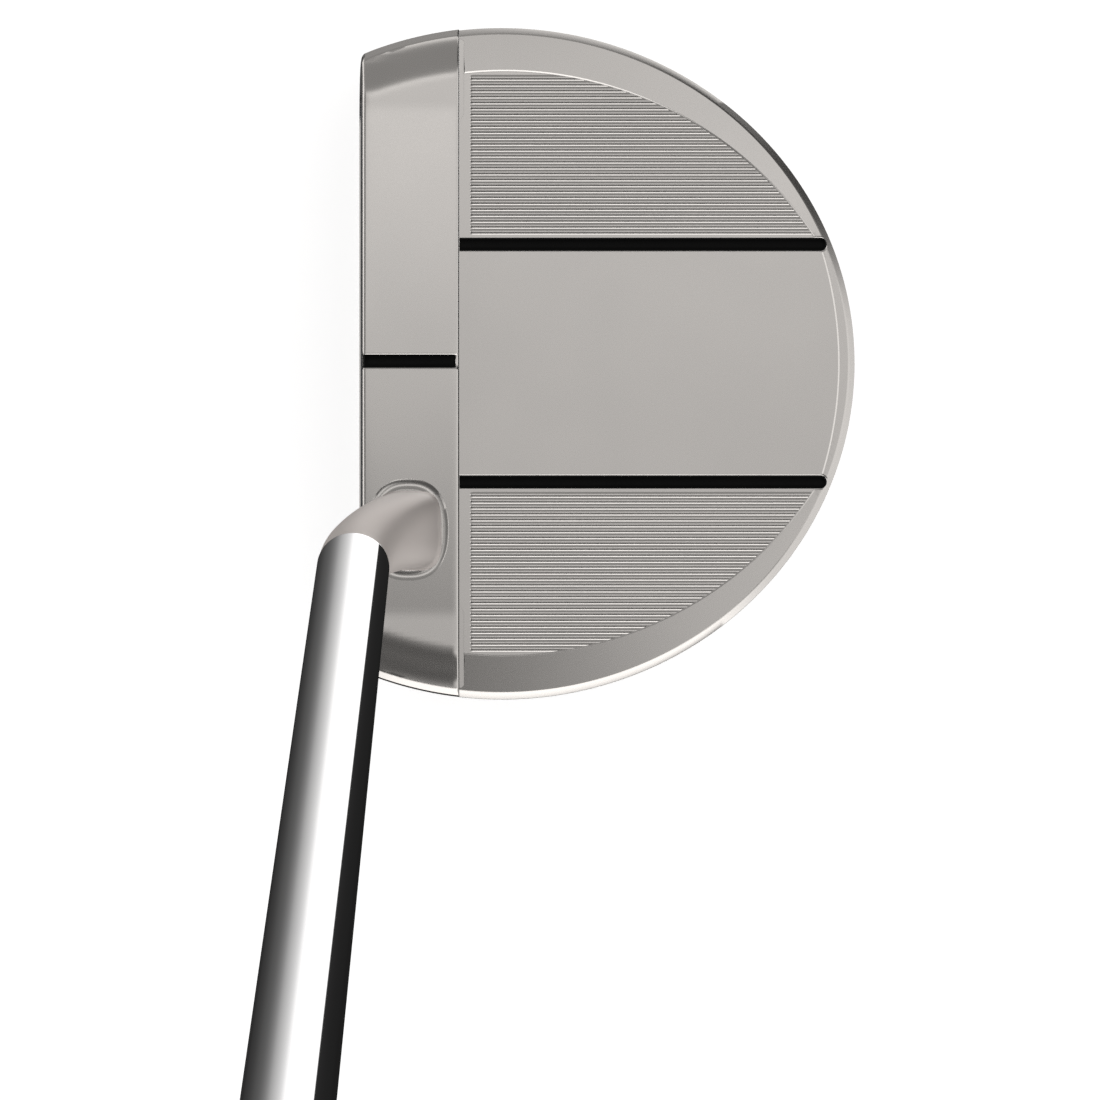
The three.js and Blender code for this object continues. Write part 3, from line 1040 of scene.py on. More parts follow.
        # The flat top is cut into a grid, so that its roll and crown bend it.
        cap = max(bm.faces, key=lambda face: (len(face.verts), face.calc_center_median().z))
        pairs: dict[float, list[bmesh.types.BMVert]] = {}
        for vert in cap.verts:
            pairs.setdefault(round(vert.co.x, 3), []).append(vert)
        for pair in pairs.values():
            if len(pair) == 2:
                bmesh.ops.connect_verts(bm, verts=pair)
        for y in range(3, 20):
            geom = bm.verts[:] + bm.edges[:] + bm.faces[:]
            bmesh.ops.bisect_plane(bm, geom=geom, dist=1e-4, plane_co=(0, y, 0), plane_no=(0, 1, 0))
        top = self.bar_end - self.chamfer[-1][1] - 0.01
        for vert in bm.verts:
            if vert.co.z > top:
                vert.co.z = self.top_at(vert.co.x, vert.co.y)
        self.plane_cut(bm, (0, self.bar_back, 0), (0, 1, 0))
        self.face_cut(bm)
        return bm

    def bar_outline(self, inset: float) -> Plan:
        """The oval plan without its points just behind the face plane."""
        return [point for point, full in zip(self.outline(inset), self.outline(0)) if not 1.2 < full[1] < 2.4]

    def front_edges(
        self,
        bm: bmesh.types.BMesh,
        test: Callable[[Vector], bool],
    ) -> list[bmesh.types.BMEdge]:
        """Convex edges round the face plane whose middles pass a test.

        Args:
            bm: The solid.
            test: Function of an edge's middle.

        Returns:
            The edges.
        """
        lean = math.tan(math.radians(self.loft_degrees))
        found = []
        for edge in bm.edges:
            off_plane = max(abs(vert.co.y - vert.co.z * lean) for vert in edge.verts)
            middle = (edge.verts[0].co + edge.verts[1].co) / 2
            if off_plane < 0.01 and turn_of(edge) > 20 and test(middle):
                found.append(edge)
        return found

    def round_bar(self, bm: bmesh.types.BMesh) -> None:
        """Rounds the bar's edges round the face and its long upper edge behind.

        Args:
            bm: The bar, with its cuts.
        """

        pocket_top, pocket_end, hidden_edge = 20.5, 43, 16.5

        def is_outer(middle: Vector) -> bool:
            """Leaves out the edges of the insert's pocket and the hidden lower edge."""
            return middle.z > pocket_top or (abs(middle.x) > pocket_end and middle.z > hidden_edge)

        self._bevel(bm, self.front_edges(bm, is_outer), self.edge_round, 4)
        rear = []
        for edge in bm.edges:
            behind = all(abs(vert.co.y - self.bar_back) < 0.01 and vert.co.z > 20 for vert in edge.verts)
            if behind and turn_of(edge) > 38:
                rear.append(edge)
        self._bevel(bm, rear, self.rear_round, 3)

    @staticmethod
    def _bevel(bm: bmesh.types.BMesh, edges: list[bmesh.types.BMEdge], size: float, segments: int) -> None:
        """Rounds edges.

        Args:
            bm: The mesh.
            edges: Edges to round.
            size: Width of the round.
            segments: Its segments.
        """
        bmesh.ops.bevel(
            bm,
            geom=edges,
            offset=size,
            offset_type="OFFSET",
            affect="EDGES",
            segments=segments,
            profile=0.5,
            material=-1,
            clamp_overlap=False,
        )

    def pocket_plan(self, grow: float) -> Plan:
        """Plan of the pocket behind the bar.

        Args:
            grow: How far it is grown, everywhere but at the bar.

        Returns:
            The plan's points.
        """
        cx, cy, radius = self.side_arc
        radius += grow
        low = math.degrees(math.asin((self.bar_back + 0.02 - cy) / radius))
        heel = arc((-cx, cy), radius, low, self.corner_angle, 60)
        toe = [(-x, y) for x, y in reversed(heel)]
        centre, back = self.back_arc
        back += grow
        reach = math.degrees(math.acos(heel[-1][0] / back))
        across = arc((0, centre), back, reach, 180 - reach, 40)[1:-1]
        return heel + across + toe

    def pocket(self) -> bmesh.types.BMesh:
        """Cutter of the pocket, with a rounded lip.

        Returns:
            The closed solid.
        """
        steps = [(-0.12, self.plate_top), (-0.02, self.plate_top + 0.09), (0.03, self.rim_top - 0.09)]
        steps += [(0.09, self.rim_top - 0.02), (0.2, self.rim_top + 0.01), (0.5, self.rim_top + 0.3)]
        return loft([level(self.pocket_plan(grow), z) for grow, z in steps])

    def panel_plan(self, side: int) -> Plan:
        """Plan of one ribbed panel.

        Args:
            side: 1 at the heel and -1 at the toe.

        Returns:
            The plan's points.
        """
        cx, cy, radius = self.side_arc
        radius -= 0.14
        inner = self.line_x + self.line_width / 2 - 0.05
        low = math.degrees(math.asin((self.bar_back + 0.05 - cy) / radius))
        high = math.degrees(math.acos((inner + cx) / radius))
        plan = arc((-cx, cy), radius, low, high, 48) + [(inner, self.bar_back + 0.05)]
        return plan if side > 0 else [(-x, y) for x, y in reversed(plan)]

    def channel(self, side: int) -> bmesh.types.BMesh:
        """Cutter of the short channel at the foot of the bar's back wall.

        Args:
            side: 1 at the heel and -1 at the toe.

        Returns:
            The closed solid.
        """
        front, back = self.bar_back + 0.015, self.bar_back + self.channel_width
        near, far = self.channel_ends
        rings = []
        for grow, z in [(0.0, 18.3), (0.03, 18.85), (0.12, 19.05), (0.3, 19.4)]:
            plan = [(far + grow, front), (far + grow, back - 0.3), (far - 0.3 + grow, back + grow)]
            plan += [(near + 1.4 - grow, back + grow), (near - grow, front + 0.1), (near - grow, front)]
            rings.append(level(plan if side > 0 else [(-x, y) for x, y in reversed(plan)], z))
        return loft(rings)

    def line_plan(self, x: float, half: float) -> Plan:
        """Plan of a flange sight line, round at its far end.

        Args:
            x: Place of its middle across the head.
            half: Half its width.

        Returns:
            The plan's points.
        """
        far = arc((x, self.line_back - self.line_width / 2), half, 0, 180, 20)
        start = self.bar_back + 0.03
        return [(x - half, start), (x + half, start)] + far

    def line_groove(self, x: float) -> bmesh.types.BMesh:
        """Cutter of one flange sight line: round-bottomed, with rounded lips.

        Args:
            x: Place of its middle across the head.

        Returns:
            The closed solid.
        """
        half, top, depth = self.line_width / 2, self.plate_top, self.line_depth
        steps = [(0.35, top - depth), (0.72, top - 0.8 * depth), (0.93, top - 0.45 * depth)]
        steps += [(1.0, top - 0.09), (1.06, top - 0.02), (1.2, top + 0.03), (1.2, self.rim_top + 0.6)]
        return loft([level(self.line_plan(x, half * share), z) for share, z in steps])

    def bar_groove(self) -> bmesh.types.BMesh:
        """Cutter of the sight line across the bar, open at both ends.

        Returns:
            The closed solid.
        """
        half, top = self.line_width / 2, self.bar_top
        section = [(-1.25, 1), (-1.25, 0.05), (-1.08, -0.03), (-1.0, -0.12), (-0.85, -0.36), (-0.5, -0.52)]
        section += [(-x, z) for x, z in reversed(section)]
        rings = [[Vector((x * half, y, top + z)) for x, z in section] for y in (-3.0, self.bar_back + 0.4)]
        return loft(rings)

    def moat(self) -> bmesh.types.BMesh:
        """Cutter of the shallow groove round the neck's foot: a ring that follows the bar's top.

        Returns:
            The closed ring.
        """
        bm = bmesh.new()
        around, section = 72, 12
        path = superellipse(6.9, 5.35, 2.5, around)
        cx, cy = self.foot
        loops = []
        for x, y in path:
            outward = Vector((x, y, 0)).normalized()
            middle = Vector((cx + x, cy + y, self.top_at(cx + x, cy + y) + 0.45))
            loop = []
            for k in range(section):
                angle = 2 * math.pi * k / section
                offset = outward * (0.95 * math.cos(angle)) + Vector((0, 0, 0.8 * math.sin(angle)))
                loop.append(bm.verts.new(middle + offset))
            loops.append([bm.edges.new((loop[k], loop[(k + 1) % section])) for k in range(section)])
        for first, second in zip(loops, loops[1:] + loops[:1]):
            bmesh.ops.bridge_loops(bm, edges=first + second)
        bmesh.ops.recalc_face_normals(bm, faces=bm.faces[:])
        return bm

    def insert_pocket(self) -> bmesh.types.BMesh:
        """Cutter of the pocket for the face insert."""
        steps = [(-2.0, 0.25), (-0.05, 0.25), (0.12, 0.02), (0.3, 0.0), (4.0, 0.0)]
        return self.face_slab(82.5, 16.5, 5.25, steps)

    def sole_seat(self) -> bmesh.types.BMesh:
        """Cutter of the seat for the sole plate."""
        steps = [(0.55, -1.0), (0.55, -0.05), (0.32, 0.2), (0.3, 2.8)]
        return loft([level(self.sole_plan(grow), z) for grow, z in steps])

    def sole_plan(self, grow: float) -> Plan:
        """Plan of the sole plate: the head's oval taken in, cut straight in front.

        Args:
            grow: How far the plan is grown.

        Returns:
            The plan's points, anticlockwise.
        """
        inset = self.sole_inset - grow
        half_x, half_y = self.half_width - inset, self.half_depth - inset
        start = math.degrees(math.asin((self.sole_front - grow - self.centre_y) / half_y))
        points = []
        for i in range(97):
            angle = math.radians(lerp(start, 180 - start, i / 96))
            points.append((half_x * math.cos(angle), self.centre_y + half_y * math.sin(angle)))
        return points

    def leaning(self, bm: bmesh.types.BMesh) -> bmesh.types.BMesh:
        """Leans a solid back with the face.

        Args:
            bm: The solid, made behind an upright face.

        Returns:
            The same solid.
        """
        turn = Matrix.Rotation(-math.radians(self.loft_degrees), 3, "X")
        bmesh.ops.rotate(bm, verts=bm.verts[:], cent=(0, 0, 0), matrix=turn)
        return bm

    def face_slab(self, width: float, height: float, corner: float, steps: Pairs) -> bmesh.types.BMesh:
        """A rounded slab in the leaning face.

        Args:
            width: Its width.
            height: Its height.
            corner: Corner radius.
            steps: Pairs of depth behind the face and growth of the outline there.

        Returns:
            The slab, placed in the head.
        """
        rings = []
        for depth, grow in steps:
            w, h, r = width / 2 + grow - corner, height / 2 + grow - corner, corner
            plan = arc((w, h), r, 0, 90, 10) + arc((-w, h), r, 90, 180, 10)
            plan += arc((-w, -h), r, 180, 270, 10) + arc((w, -h), r, 270, 360, 10)
            rings.append([Vector((x, depth, self.insert_middle + z)) for x, z in plan])
        return self.leaning(loft(rings))

    def rib(self, index: int, side: int) -> bmesh.types.BMesh:
        """One rib: a rounded bar with a round front end, cut to the pocket's arc behind.

        Args:
            index: Number of the rib, counted from the sight line.
            side: 1 at the heel and -1 at the toe.

        Returns:
            The closed rib.
        """
        cx, cy, radius = self.side_arc
        middle = self.rib_first + index * self.rib_pitch
        height = self.plate_top + 0.02 - self.rib_floor
        bend = (self.rib_half**2 + height**2) / (2 * height)
        lean = math.degrees(math.asin(self.rib_half / bend))
        crown = arc((0, height - bend), bend, 90 - lean, 90 + lean, 8)
        section = crown + [(-self.rib_half, -0.12), (self.rib_half, -0.12)]
        rings = []
        for share in (0.0, 0.3, 0.55, 0.78, 0.93, 1.0):
            swell = math.sqrt(1 - (1 - share) ** 2) * 0.97 + 0.03
            y = self.rib_front + 0.5 * share
            ring = [Vector((x * swell, y, z * swell if z > 0 else z)) for x, z in section]
            rings.append([Vector((middle + p.x, p.y, self.rib_floor + p.z)) for p in ring])
        end = []
        for x, z in section:
            reach = math.sqrt((radius - 0.1) ** 2 - (middle + x + cx) ** 2)
            end.append(Vector((middle + x, cy + reach, self.rib_floor + z)))
        rings.append(end)
        if side < 0:
            rings = [[Vector((-p.x, p.y, p.z)) for p in ring] for ring in rings]
        return loft(rings)

    def build(self, look: bpy.types.Material) -> None:
        """Builds the head and dresses it.

        Args:
            look: Its material.
        """
        piece = to_object("head", self.flange())
        apart = [self.pocket(), self.insert_pocket(), self.sole_seat()]
        combine(piece, gathered(apart), Joining.CUT)
        panels = []
        grooves = []
        for side in (-1, 1):
            panels.append(loft([level(self.panel_plan(side), z) for z in (self.rib_floor, self.rim_top)]))
            grooves += [self.channel(side), self.line_groove(side * self.line_x)]
        combine(piece, gathered(panels), Joining.CUT)
        combine(piece, gathered(grooves), Joining.CUT)
        bar = to_object("bar", self.bar())
        for tool in (self.bar_groove(), self.moat(), self.insert_pocket()):
            combine(bar, tool, Joining.CUT)
        edit(bar, self.round_bar)
        ribs = gathered(self.rib(index, side) for side in (-1, 1) for index in range(self.rib_count))

        def add_parts(bm: bmesh.types.BMesh) -> None:
            """Adds the bar and the ribs.

            Args:
                bm: The flange's mesh.
            """
            bm.from_mesh(bar.data)
            scrap = bpy.data.meshes.new("ribs")
            ribs.to_mesh(scrap)
            bm.from_mesh(scrap)
            bpy.data.meshes.remove(scrap)

        edit(piece, add_parts)
        ribs.free()
        bpy.data.meshes.remove(bar.data)
        shade(piece, 28)
        BENCH.finish(piece, BENCH.head(), look, "stainless", ["head_body"])


@dataclass
class SightLines:
    """The three painted lines. Sections are pairs of a share of the half width and a height."""

    head: Head
    flange_under: Steps = ((0.3, -0.53), (0.70, -0.43), (0.91, -0.24), (0.975, -0.07))
    flange_over: Steps = ((0.93, -0.05), (0.86, -0.15), (0.64, -0.31), (0.25, -0.38))
    bar_under: Steps = ((-0.97, -0.13), (-0.84, -0.34), (-0.49, -0.5))
    bar_over: Steps = ((0.94, -0.08), (0.6, -0.26), (0.25, -0.34))
    front_turn: Steps = ((1.62, 0.5), (1.75, 0.2), (2.05, 0.02), (2.6, 0))
    back_turn: Steps = ((14.9, 0), (15.5, 0.12), (15.85, 0.42), (15.97, 0.8))

    def flange_line(self, x: float) -> bmesh.types.BMesh:
        """Paint that lines a flange groove: a dished strip with a round far end.

        Args:
            x: Place of its middle across the head.

        Returns:
            The closed solid.
        """
        half, top = self.head.line_width / 2, self.head.plate_top
        section = self.flange_under + self.flange_over
        return loft([level(self.head.line_plan(x, half * share), top + drop) for share, drop in section])

    def bar_line(self) -> bmesh.types.BMesh:
        """Paint across the bar, dished, and turned down over both edges.

        Returns:
            The closed solid.
        """
        half, top = self.head.line_width / 2, self.head.bar_top
        section = []
        for part in (self.bar_under, self.bar_over):
            section += list(part) + [(-x, z) for x, z in reversed(part)]
        rings = []
        for y, drop in self.front_turn + self.back_turn:
            rings.append([Vector((x * half, y, top + z - drop)) for x, z in section])
        return loft(rings)

    def build(self, look: bpy.types.Material) -> None:
        """Builds and dresses the three lines.

        Args:
            look: The paint.
        """
        for name, bm in [
            ("toe_sight_line", self.flange_line(-self.head.line_x)),
            ("heel_sight_line", self.flange_line(self.head.line_x)),
            ("bar_sight_line", self.bar_line()),
        ]:
            piece = to_object(f"{name}_paint", bm)
            shade(piece, 50, False)
            BENCH.finish(piece, BENCH.head(), look, "line_paint", [name])


@dataclass
class FaceInsert:
    """The grooved insert in the face. The groove's section is pairs of a depth and a half width."""

    head: Head
    groove_count: int = 9
    groove_pitch: float = 1.6
    groove_reach: float = 35.0
    groove_section: Steps = ((-0.1, -0.42), (0.25, -0.3), (0.48, -0.1))

    def build(self, look: bpy.types.Material) -> None:
        """Builds and dresses the insert.

        Args:
            look: Its polymer.
        """
        steps = [(2.7, 0.0), (0.35, 0.0), (0.15, -0.08), (0.1, -0.25)]
        piece = to_object("face_insert_pad", self.head.face_slab(82, 16, 5, steps))
        section = list(self.groove_section) + [(y, -half) for y, half in reversed(self.groove_section)]
        middle = (self.groove_count - 1) / 2
        for i in range(self.groove_count):
            z = self.head.insert_middle + (i - middle) * self.groove_pitch
            rings = []
            for x in (-self.groove_reach, self.groove_reach):
                rings.append([Vector((x, 0.1 + y, z + half)) for y, half in section])
            combine(piece, self.head.leaning(loft(rings)), Joining.CUT)
        shade(piece)
        BENCH.finish(piece, BENCH.head(), look, "insert_polymer", ["face_insert"])


@dataclass
class Neck:
    """The bent neck between the bar and the shaft, with its flared foot."""

    head: Head
    foot_height: float = 24.9
    foot_half_x: float = 5.6
    foot_half_y: float = 4.5
    radius: float = 5.0
    rise: float = 13.0
    approach: float = 11.0
    post_radius: float = 3.7
    post_length: float = 26.0
    points: int = 72
    stations: int = 44

    def frame_at(self, along: float) -> tuple[Vector, Vector]:
        """Point and direction of the neck's centreline.

        Args:
            along: Share of the way from foot to shaft.

        Returns:
            The point and the unit direction.
        """
        lie = math.radians(BENCH.lie_degrees)
        axis = Vector((math.cos(lie), 0, math.sin(lie)))
        top = BENCH.shaft_start - axis * 0.02
        foot = Vector((*self.head.foot, self.foot_height))
        a, b, c, d = foot, foot + Vector((0, 0, self.rise)), top - axis * self.approach, top
        left = 1 - along
        point = a * left**3 + b * 3 * left * left * along + c * 3 * left * along**2 + d * along**3
        way = (b - a) * left * left + (c - b) * 2 * left * along + (d - c) * along**2
        return point, way.normalized()

    def ring(self, point: Vector, way: Vector, half_x: float, half_y: float, power: float) -> Ring:
        """A section across the neck.

        Args:
            point: Its middle.
            way: Direction of the neck there.
            half_x: Half width across the head.
            half_y: Half width from face to back.
            power: 2 for an ellipse, more for squarer corners.

        Returns:
            The section's points.
        """
        turn = Vector((0, 0, 1)).rotation_difference(way)
        plan = superellipse(half_x, half_y, power, self.points)
        return [point + turn @ Vector((x, y, 0)) for x, y in plan]

    def build(self, look: bpy.types.Material) -> None:
        """Builds and dresses the neck.

        Args:
            look: Its steel.
        """
        rings = []
        for i in range(self.stations + 1):
            along = i / self.stations
            point, way = self.frame_at(along)
            shape = smoothstep(0.05, 0.8, along)
            flare = 0.6 * max(0.0, 1 - (point.z - self.foot_height) / 2.8) ** 2.2
            half_x = lerp(self.foot_half_x, self.radius, shape) + flare
            half_y = lerp(self.foot_half_y, self.radius, shape) + flare
            rings.append(self.ring(point, way, half_x, half_y, lerp(3.6, 2.0, shape)))
        point, way = self.frame_at(1.0)
        lead = 0.6
        post = [(0.0, self.post_radius), (self.post_length - lead, self.post_radius)]
        post += [(self.post_length, self.post_radius - lead)]
        for reach, radius in post:
            rings.append(self.ring(point + way * reach, way, radius, radius, 2.0))
        piece = to_object("neck", loft(rings))
        shade(piece, 40, False)
        BENCH.finish(piece, BENCH.head(), look, "stainless", ["hosel_neck"])


@dataclass
class Shaft:
    """The stepless tapered tube."""

    tip_radius: float = 5.15
    butt_radius: float = 7.6
    wall: float = 0.6
    parallel: float = 230.0
    length: float = 794.72
    grip_bottom: float = 531.02

    def radius_at(self, z: float) -> float:
        """Outer radius at a distance from the lower end."""
        along = min(max((z - self.parallel) / (self.grip_bottom - self.parallel), 0), 1)
        return lerp(self.tip_radius, self.butt_radius, along)

    def build(self, look: bpy.types.Material) -> None:
        """Builds and dresses the tube.

        Args:
            look: Its plating.
        """
        heights = [0.55] + [lerp(self.parallel, self.grip_bottom, i / 12) for i in range(13)]
        heights += [self.length - 0.3]
        outside = [(self.tip_radius - 0.3, 0.0), (self.tip_radius - 0.1, 0.12), (self.tip_radius - 0.02, 0.3)]
        outside += [(self.radius_at(z), z) for z in heights] + [(self.butt_radius - 0.3, self.length)]
        bends = (self.length, self.grip_bottom, self.parallel, 0.0)
        inside = [(self.radius_at(z) - self.wall, z) for z in bends]
        profile = outside + inside + outside[:1]
        piece = to_object("shaft_tube", spun(profile, 160))
        shade(piece, 40, False)
        BENCH.finish(piece, BENCH.shaft(), look, "shaft_chrome", ["shaft"])


@dataclass
class Grip:
    """The pistol grip with its flat front, moulded hatching and end cap.

    Girths are pairs of a distance from the lower end and a radius.
    """

    shaft: Shaft
    bore: float = 8.5
    rings_per_mm: float = 1.6
    around: int = 120
    dimple: float = 0.28
    lower_girths: Steps = ((0, 10.1), (2, 10.9), (60, 11.8), (120, 12.5), (170, 13.3))
    upper_girths: Steps = ((205, 14.4), (235, 15.0), (255, 14.8), (264, 14.2))
    cap_rise: float = 3.3

    @property
    def bottom(self) -> float:
        """Place of the grip's lower end along the shaft."""
        return self.shaft.grip_bottom

    @property
    def top(self) -> float:
        """Place of the grip's upper end along the shaft."""
        return self.shaft.length

    def girth(self, along: float) -> float:
        """Radius of the round body.

        Args:
            along: Distance from the grip's lower end.

        Returns:
            The radius.
        """
        girths = self.lower_girths + self.upper_girths
        for (a, ra), (b, rb) in zip(girths, girths[1:]):
            if along <= b:
                return lerp(ra, rb, smoothstep(a, b, along) * 0.5 + 0.5 * (along - a) / (b - a))
        return girths[-1][1]

    def circle(self, radius: float, z: float) -> Ring:
        """A round section of the bore."""
        turns = [2 * math.pi * k / self.around for k in range(self.around)]
        return [Vector((radius * math.cos(turn), radius * math.sin(turn), z)) for turn in turns]

    def ring(self, z: float) -> Ring:
        """One section: round behind, flat in front, dimpled except near the ends.

        Args:
            z: Its place along the shaft.

        Returns:
            The section's points.
        """
        along = z - self.bottom
        radius = self.girth(along)
        front = -(9.9 + 0.006 * along)
        points = []
        for k in range(self.around):
            angle = 2 * math.pi * k / self.around
            c, s = math.cos(angle), math.sin(angle)
            sink = self.hatch(along, k, c)
            x, y = (radius - sink) * c, (radius - sink) * s
            over = front - x
            if over > 0:
                x = front + sink * 0.6 - 0.12 * over
            points.append(Vector((x, y, z)))
        return points

    def hatch(self, along: float, k: int, facing: float) -> float:
        """Depth of the moulded pattern at one point: bars in front, a diamond hatch behind.

        Args:
            along: Distance from the grip's lower end.
            k: Number of the point round the section.
            facing: Cosine of the point's angle, -1 in the middle of the flat front.

        Returns:
            The depth.
        """
        band = smoothstep(9, 13, along) * (1 - smoothstep(248, 252, along))
        if facing < -0.55:
            wave = 0.5 + 0.5 * math.cos(2 * math.pi * along / 5.0)
            return self.dimple * 0.8 * band * wave**8
        turn = 2 * math.pi * k / self.around
        first = math.cos(15 * turn + along * 0.9)
        second = math.cos(15 * turn - along * 0.9)
        return self.dimple * band * max(first, second, 0.0) ** 4

    def build(self, look: bpy.types.Material, cap_look: bpy.types.Material) -> None:
        """Builds and dresses the grip and its cap.

        Args:
            look: The rubber.
            cap_look: The cap's plastic.
        """
        count = int((self.top - self.bottom) * self.rings_per_mm)
        rings = [self.ring(lerp(self.bottom, self.top, i / count)) for i in range(count + 1)]
        bm = loft([self.circle(self.bore, self.bottom), *rings, self.circle(self.bore, self.top)])
        ends = [face for face in bm.faces if len(face.verts) > 8]
        bmesh.ops.delete(bm, geom=ends, context="FACES_ONLY")
        loops = [edge for edge in bm.edges if edge.is_boundary]
        bmesh.ops.bridge_loops(bm, edges=loops)
        bmesh.ops.recalc_face_normals(bm, faces=bm.faces[:])
        piece = to_object("grip_sleeve", bm)
        shade(piece, 60, False)
        BENCH.finish(piece, BENCH.shaft(), look, "grip_rubber", ["grip"])
        self.build_cap(cap_look)

    def build_cap(self, look: bpy.types.Material) -> None:
        """Builds and dresses the end cap: plug, rim, two rings and a vent hole.

        Args:
            look: Its plastic.
        """
        butt = self.top + self.cap_rise
        low = butt - 3
        foot = low - 10
        profile = [(1.2, foot), (6.7, foot), (6.7, low), (12.3, low), (12.7, low + 0.4), (12.75, low + 1.2)]
        profile += [(12.2, butt - 1.0), (11.4, butt - 0.3), (10.2, butt), (8.6, butt)]
        profile += [(8.3, butt - 0.35), (7.6, butt - 0.35), (7.3, butt), (4.4, butt)]
        profile += [(4.1, butt - 0.3), (2.6, butt - 0.3), (2.3, butt - 0.1), (1.6, butt - 0.1)]
        profile += [(1.2, butt - 0.5), (1.2, foot)]
        piece = to_object("grip_end_cap", spun(profile, 96))
        shade(piece, 30, False)
        BENCH.finish(piece, BENCH.shaft(), look, "cap_plastic", ["grip_cap"])


@dataclass
class Sole:
    """The sole plate, its badge and the two screw weights. Profiles are pairs of radius and height."""

    head: Head
    weight_x: float = 27.0
    weight_y: float = 41.0
    head_radius: float = 7.8
    thread_start: float = 4.3
    thread_end: float = 11.2
    thread_pitch: float = 1.0
    socket_across: float = 8.0
    pad: Steps = ((0, 0.6), (9.3, 0.6), (9.6, 1.2), (9.6, 5.3), (9.3, 5.6), (0, 5.6))
    bore_mouth: Steps = ((0, -1), (8.55, -1), (8.55, -0.02), (8.2, 0.25), (8.1, 0.4))
    bore_rest: Steps = ((8.1, 3.6), (3.0, 3.6), (3.0, 7), (0, 7))
    badge_y: float = 34.0
    badge_reach: float = 8.0
    badge_radius: float = 6.0
    bar_places: tuple[float, ...] = (-5.0, 0.0, 5.0)
    bar_half: tuple[float, float] = (0.7, 3.0)
    washer_middle: tuple[float, float] = (5.14, 3.05)
    washer_half: tuple[float, float] = (2.04, 0.3)

    def seat(self, side: int) -> Vector:
        """Centre of a weight on the ground plane."""
        return Vector((side * self.weight_x, self.weight_y, 0))

    def turned(self, profile: Pairs, side: int, steps: int = 72) -> bmesh.types.BMesh:
        """A turned solid on a weight's axis.

        Args:
            profile: Pairs of radius and height.
            side: -1 at the toe and 1 at the heel.
            steps: Number of steps in the turn.

        Returns:
            The closed solid.
        """
        bm = spun(profile, steps)
        bmesh.ops.translate(bm, verts=bm.verts[:], vec=self.seat(side))
        return bm

    def build_plate(self, look: bpy.types.Material) -> None:
        """Builds and dresses the plate with its two counterbores and the badge's recess.

        Args:
            look: Its aluminium.
        """
        steps = [(-0.35, 0.0), (-0.1, 0.08), (0.0, 0.35), (0.0, 2.5)]
        piece = to_object("sole_cover", loft([level(self.head.sole_plan(grow), z) for grow, z in steps]))
        for side in (-1, 1):
            combine(piece, self.turned(self.pad, side), Joining.ADD)
            combine(piece, self.turned(self.bore_mouth + self.bore_rest, side), Joining.CUT)
        combine(piece, self.pill([(0.5, -1.0), (0.5, -0.02), (0.32, 0.15), (0.3, 1.5)]), Joining.CUT)
        shade(piece)
        BENCH.finish(piece, BENCH.head(), look, "sole_aluminium", ["sole_plate"])

    def pill(self, steps: Pairs) -> bmesh.types.BMesh:
        """A round-ended solid in the middle of the plate.

        Args:
            steps: Pairs of growth and height.

        Returns:
            The solid.
        """
        x, y = self.badge_reach, self.badge_y
        rings = []
        for grow, z in steps:
            radius = self.badge_radius + grow
            plan = arc((x, y), radius, -90, 90, 24) + arc((-x, y), radius, 90, 270, 24)
            rings.append(level(plan, z))
        return loft(rings)

    def build_badge(self, look: bpy.types.Material) -> None:
        """Builds and dresses the plain badge: a raised border round three bars.

        Args:
            look: Its enamel.
        """
        piece = to_object("sole_badge_plate", self.pill([(0.0, 0.8), (0.0, 0.25), (-0.15, 0.1)]))
        combine(piece, self.pill([(-1.3, 0.35), (-1.2, -0.5)]), Joining.CUT)
        half_x, half_y = self.bar_half
        low, high = self.badge_y - half_y, self.badge_y + half_y
        for x in self.bar_places:
            plan = [(x - half_x, low), (x + half_x, low), (x + half_x, high), (x - half_x, high)]
            small = [(lerp(x, px, 0.8), lerp(self.badge_y, py, 0.95)) for px, py in plan]
            combine(piece, loft([level(plan, 0.5), level(plan, 0.22), level(small, 0.12)]), Joining.ADD)
        shade(piece)
        BENCH.finish(piece, BENCH.head(), look, "badge", ["sole_badge"])

    def screw(self) -> Plan:
        """Profile of a weight screw: turned head, threaded shank.

        Returns:
            Pairs of radius and height.
        """
        r = self.head_radius
        profile = [(0, 0.35), (4.2, 0.35), (4.4, 0.2), (6.1, 0.2), (6.2, 0.32), (6.5, 0.32), (6.6, 0.2)]
        profile += [(r - 0.5, 0.2), (r - 0.15, 0.3), (r, 0.6), (r, 2.5), (r - 0.1, 2.6), (2.4, 2.6)]
        profile += [(2.4, self.thread_start)]
        z = self.thread_start
        while z < self.thread_end:
            profile += [(2.68, z + 0.35), (2.7, z + 0.5), (2.4, z + 0.9), (2.4, z + self.thread_pitch)]
            z += self.thread_pitch
        return profile + [(2.1, 11.9), (0, 11.9)]

    def hex_socket(self, side: int) -> bmesh.types.BMesh:
        """Cutter of the key's hex socket, with a chamfered mouth and a coned bottom.

        Args:
            side: -1 at the toe and 1 at the heel.

        Returns:
            The closed solid.
        """
        rings = []
        for size, z in [(1.22, -1.0), (1.22, 0.3), (1.0, 0.55), (1.0, 2.2), (0.4, 2.5)]:
            radius = self.socket_across / 2 / math.sqrt(3) * size
            plan = arc((0, 0), radius, 0, 300, 5)
            rings.append([Vector((x, y, z)) + self.seat(side) for x, y in plan])
        return loft(rings)

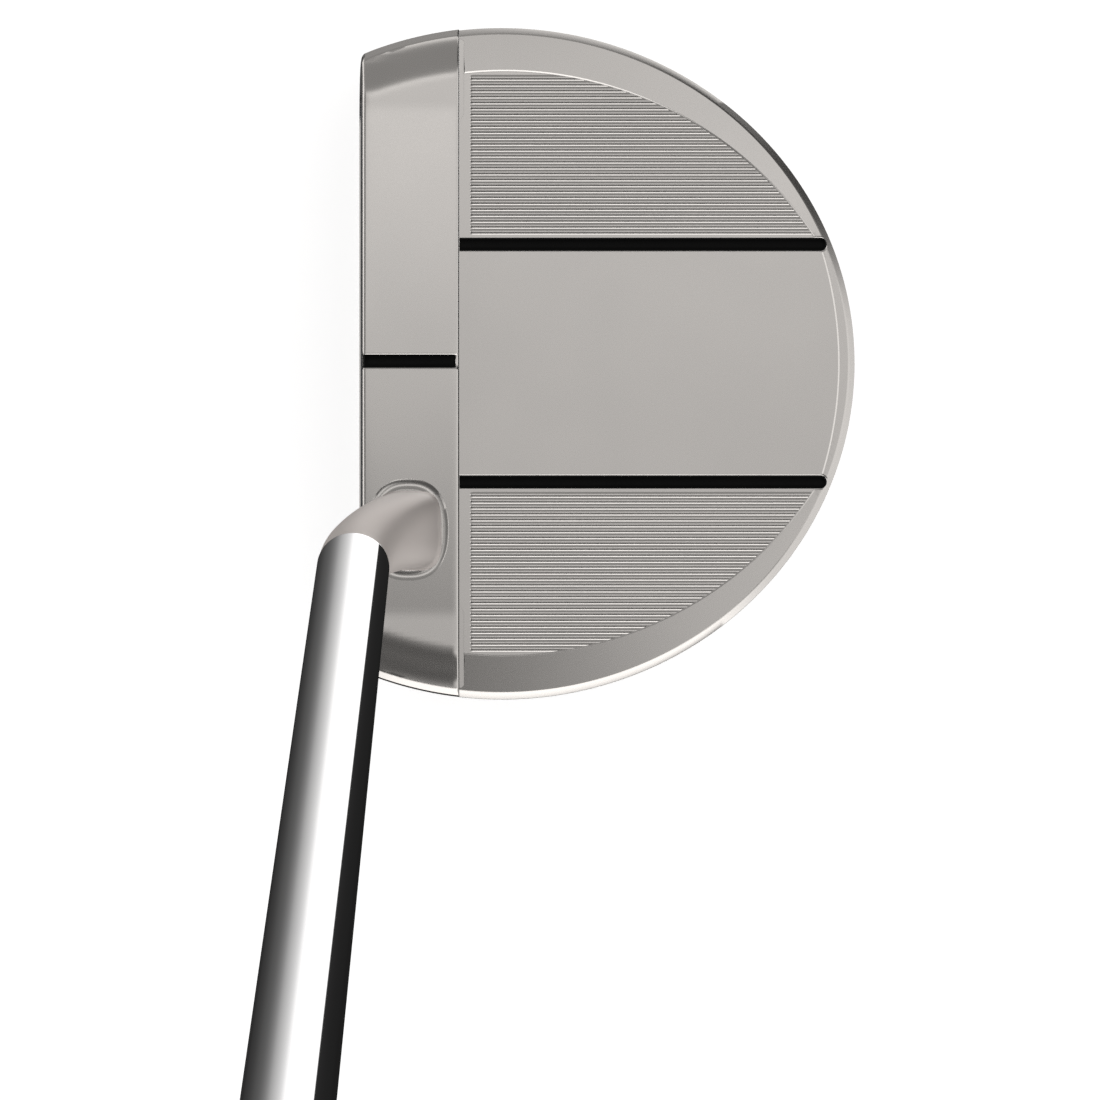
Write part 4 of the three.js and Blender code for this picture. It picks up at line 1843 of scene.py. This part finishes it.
    def build_weight(self, side: int, look: bpy.types.Material, ring_look: bpy.types.Material) -> None:
        """Builds and dresses one weight screw and its washer.

        Args:
            side: -1 at the toe and 1 at the heel.
            look: The screw's material.
            ring_look: The washer's material.
        """
        end = "toe" if side < 0 else "heel"
        nodes = [f"{end}_weight"]
        piece = to_object(f"{end}_weight_screw", self.turned(self.screw(), side, 96))
        combine(piece, self.hex_socket(side), Joining.CUT)
        shade(piece)
        BENCH.finish(piece, BENCH.head(), look, "weight_steel", nodes, f"{end}_screw")
        (radius, height), (half_x, half_z) = self.washer_middle, self.washer_half
        section = [(radius + half_x * c, height + half_z * s) for c, s in arc((0, 0), 1, 0, 360, 12)]
        ring = to_object(f"{end}_washer", self.turned(section, side))
        shade(ring, 60, False)
        nodes = [f"{end}_weight_washer"]
        BENCH.finish(ring, BENCH.head(), ring_look, "washer_rubber", nodes, f"{end}_travel")


def dress_hidden_nodes() -> None:
    """Gives the inner CAD nodes that stay as they are their own materials."""
    looks = {"insert_bond": EPOXY, "shaft_bond": EPOXY, "badge_tape": TAPE, "grip_tape": TAPE}
    looks["tip_plug"] = CORK
    made = {finish.name: finish.make() for finish in dict.fromkeys(looks.values())}
    for name, finish in looks.items():
        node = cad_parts[name]
        node.data.materials.clear()
        node.data.materials.append(made[finish.name])
        LOG.info("%s: dressed in %s", name, finish.name)


def main() -> None:
    """Builds the studio and every visible piece in order."""
    logging.basicConfig(level=logging.INFO, format="%(message)s")
    scene = bpy.context.scene
    scene.view_settings.view_transform = "Standard"
    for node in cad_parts.values():
        node.visible_glossy = False
    studio = Studio()
    studio.place_camera()
    studio.lay_floor()
    Surroundings().build()
    head = Head()
    head.build(STEEL.make())
    SightLines(head).build(PAINT.make())
    FaceInsert(head).build(INSERT.make())
    Neck(head).build(NECK_STEEL_PAINTED_LIGHT.make())
    shaft = Shaft()
    shaft.build(CHROME.make())
    Grip(shaft).build(RUBBER.make(), CAP_PLASTIC.make())
    sole = Sole(head)
    sole.build_plate(SOLE_METAL.make())
    sole.build_badge(BADGE.make())
    weight_look, washer_look = WEIGHT_METAL.make(), WASHER.make()
    for side in (-1, 1):
        sole.build_weight(side, weight_look, washer_look)
    dress_hidden_nodes()


if __name__ == "__main__":
    main()
